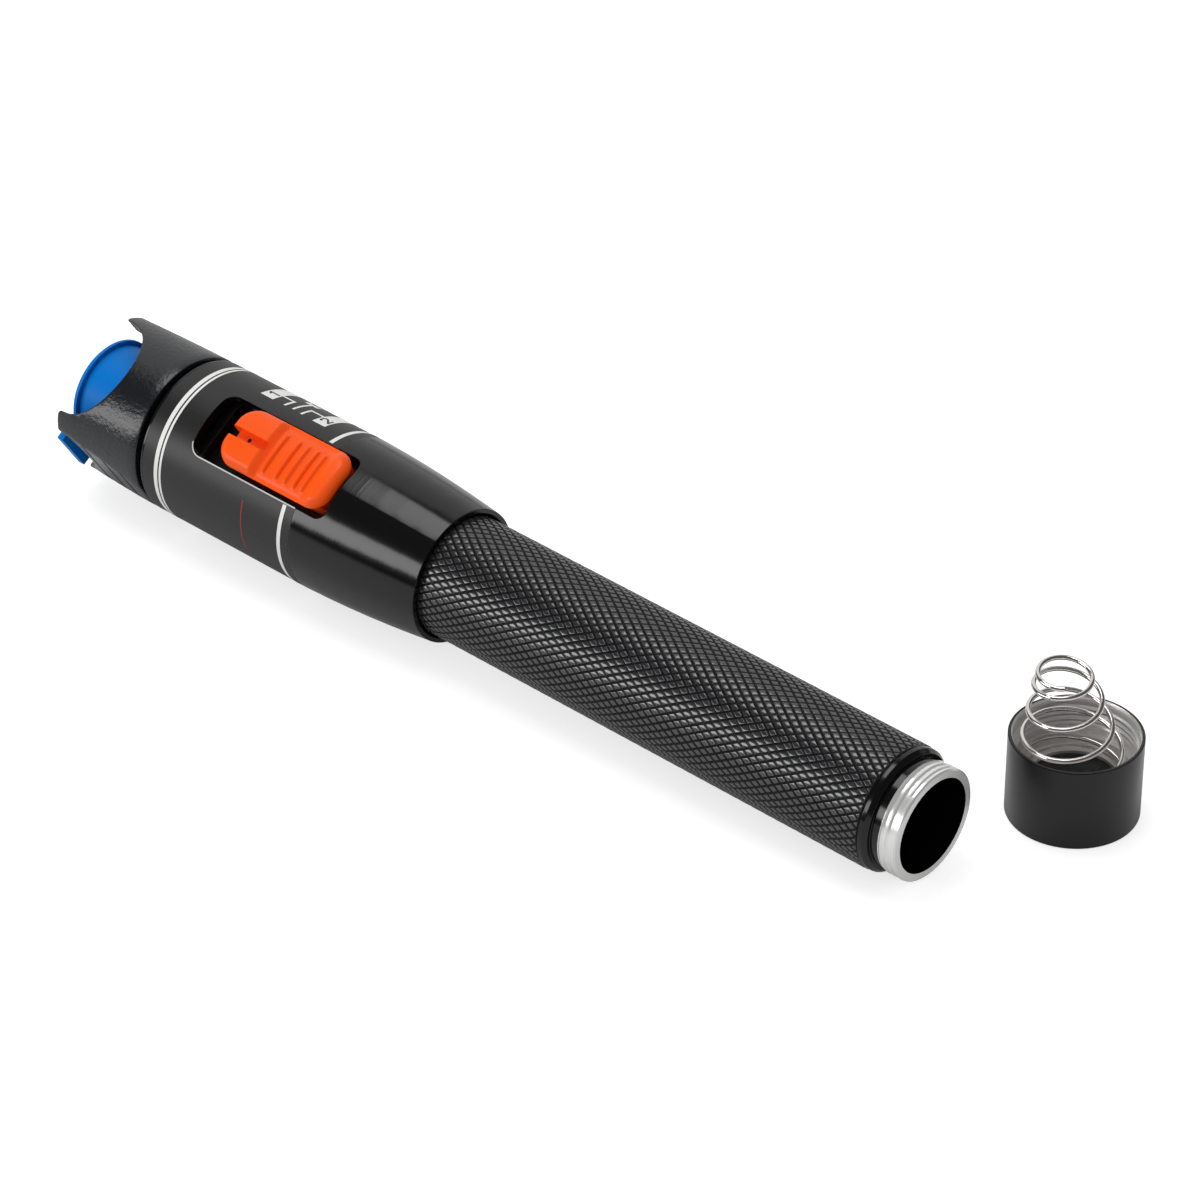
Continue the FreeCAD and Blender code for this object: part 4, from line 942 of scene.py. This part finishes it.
# Past a line a little to the left of the pen, the floor goes black to shiny pieces only: a painted dark
# reflection.
left = add_maths(tree, "ShaderNodeVectorMath", "DOT_PRODUCT", piece_place(floor_white),
                 (math.cos(LEFTWARD), math.sin(LEFTWARD), 0.0))
past_dark_line = add_node(tree, "ShaderNodeMapRange", Value=left, From_Min=DARK_REFLECTION_LINE[0], From_Max=DARK_REFLECTION_LINE[1])
painted_dark_reflection = add_maths(tree, "ShaderNodeMath", "MULTIPLY", past_dark_line.outputs["Result"], rays["Is Glossy Ray"])
seen = add_maths(tree, "ShaderNodeMath", "MULTIPLY_ADD", rays["Is Glossy Ray"], GLOSSY_SHARE,
                 rays["Is Camera Ray"])
hidden = add_maths(tree, "ShaderNodeMath", "MULTIPLY", painted_dark_reflection, GLOSSY_SHARE)
lit = add_maths(tree, "ShaderNodeMath", "SUBTRACT", seen, hidden)
glow = add_maths(tree, "ShaderNodeMath", "MULTIPLY", lit, FLOOR_GLOW)
grey = add_node(tree, "ShaderNodeMapRange", Value=painted_dark_reflection, To_Min=FLOOR_GREY, To_Max=0.0)
floor_inputs = tree.nodes["Principled BSDF"].inputs
feed(tree, floor_inputs["Emission Strength"], glow)
feed(tree, floor_inputs["Base Color"], grey.outputs["Result"])
floor_mesh.materials.append(floor_white)
floor = bpy.data.objects.new("floor", floor_mesh)
bpy.context.scene.collection.objects.link(floor)

# The world is white to the camera, lights all sides evenly, and looks dim in shiny pieces.
world = bpy.data.worlds.new("studio")
bpy.context.scene.world = world
world.use_nodes = True
tree = world.node_tree
rays = add_node(tree, "ShaderNodeLightPath").outputs
shown = add_node(tree, "ShaderNodeMapRange", Value=rays["Is Camera Ray"], To_Min=WORLD_DIFFUSE, To_Max=1.0)
mirrored = add_node(tree, "ShaderNodeMapRange", Value=rays["Is Glossy Ray"], To_Min=0.0,
                    To_Max=WORLD_DIFFUSE - WORLD_GLOSSY)
strength = add_maths(tree, "ShaderNodeMath", "SUBTRACT", shown.outputs["Result"], mirrored.outputs["Result"])
feed(tree, tree.nodes["Background"].inputs["Color"], (1, 1, 1, 1))
feed(tree, tree.nodes["Background"].inputs["Strength"], strength)


def add_softbox(name, azimuth, elevation, distance, width, height, radiance, roll=0.0):
    """A rectangular soft light that looks at the pen's middle, as bright as radiance."""
    light = bpy.data.lights.new(name, "AREA")
    light.shape = "RECTANGLE"
    light.size, light.size_y = width, height
    light.energy = radiance * math.pi * width * height
    lamp = bpy.data.objects.new(name, light)
    bpy.context.scene.collection.objects.link(lamp)
    level, turned = math.cos(math.radians(elevation)), math.radians(azimuth)
    way = Vector((math.cos(turned) * level, math.sin(turned) * level, math.sin(math.radians(elevation))))
    lamp.location = way * distance
    turn = way.to_track_quat("Z", "Y").to_matrix() @ Matrix.Rotation(math.radians(roll), 3, "Z")
    lamp.rotation_euler = turn.to_euler()


add_softbox("left_softbox", azimuth=-124.0, elevation=13.5, distance=1.0, width=0.9, height=0.32,
            radiance=4.1, roll=30.0)
add_softbox("overhead_softbox", azimuth=180.0, elevation=77.0, distance=1.0, width=0.5, height=0.56,
            radiance=3.1)
add_softbox("back_wall", azimuth=135.0, elevation=30.0, distance=1.3, width=1.7, height=1.35, radiance=0.62)

# Camera: a long lens, where the photograph was taken from. Its place and its two axes were fitted to the
# photograph's outline.
CAMERA_PLACE = (0.415368, -0.465131, 0.430983)
CAMERA_RIGHT = Vector((0.749296, 0.66223, -0.002853))
CAMERA_UP = Vector((-0.36982, 0.422008, 0.827733))
camera_data = bpy.data.cameras.new("camera")
camera_data.sensor_width = 36.0
camera_data.lens = 146.167
camera_data.clip_start = 0.01
camera = bpy.data.objects.new("camera", camera_data)
bpy.context.scene.collection.objects.link(camera)
camera_turn = Matrix((CAMERA_RIGHT, CAMERA_UP, CAMERA_RIGHT.cross(CAMERA_UP))).transposed()
camera.location = CAMERA_PLACE
camera.rotation_euler = camera_turn.to_euler()
bpy.context.scene.camera = camera
bpy.context.scene.view_settings.view_transform = "Standard"
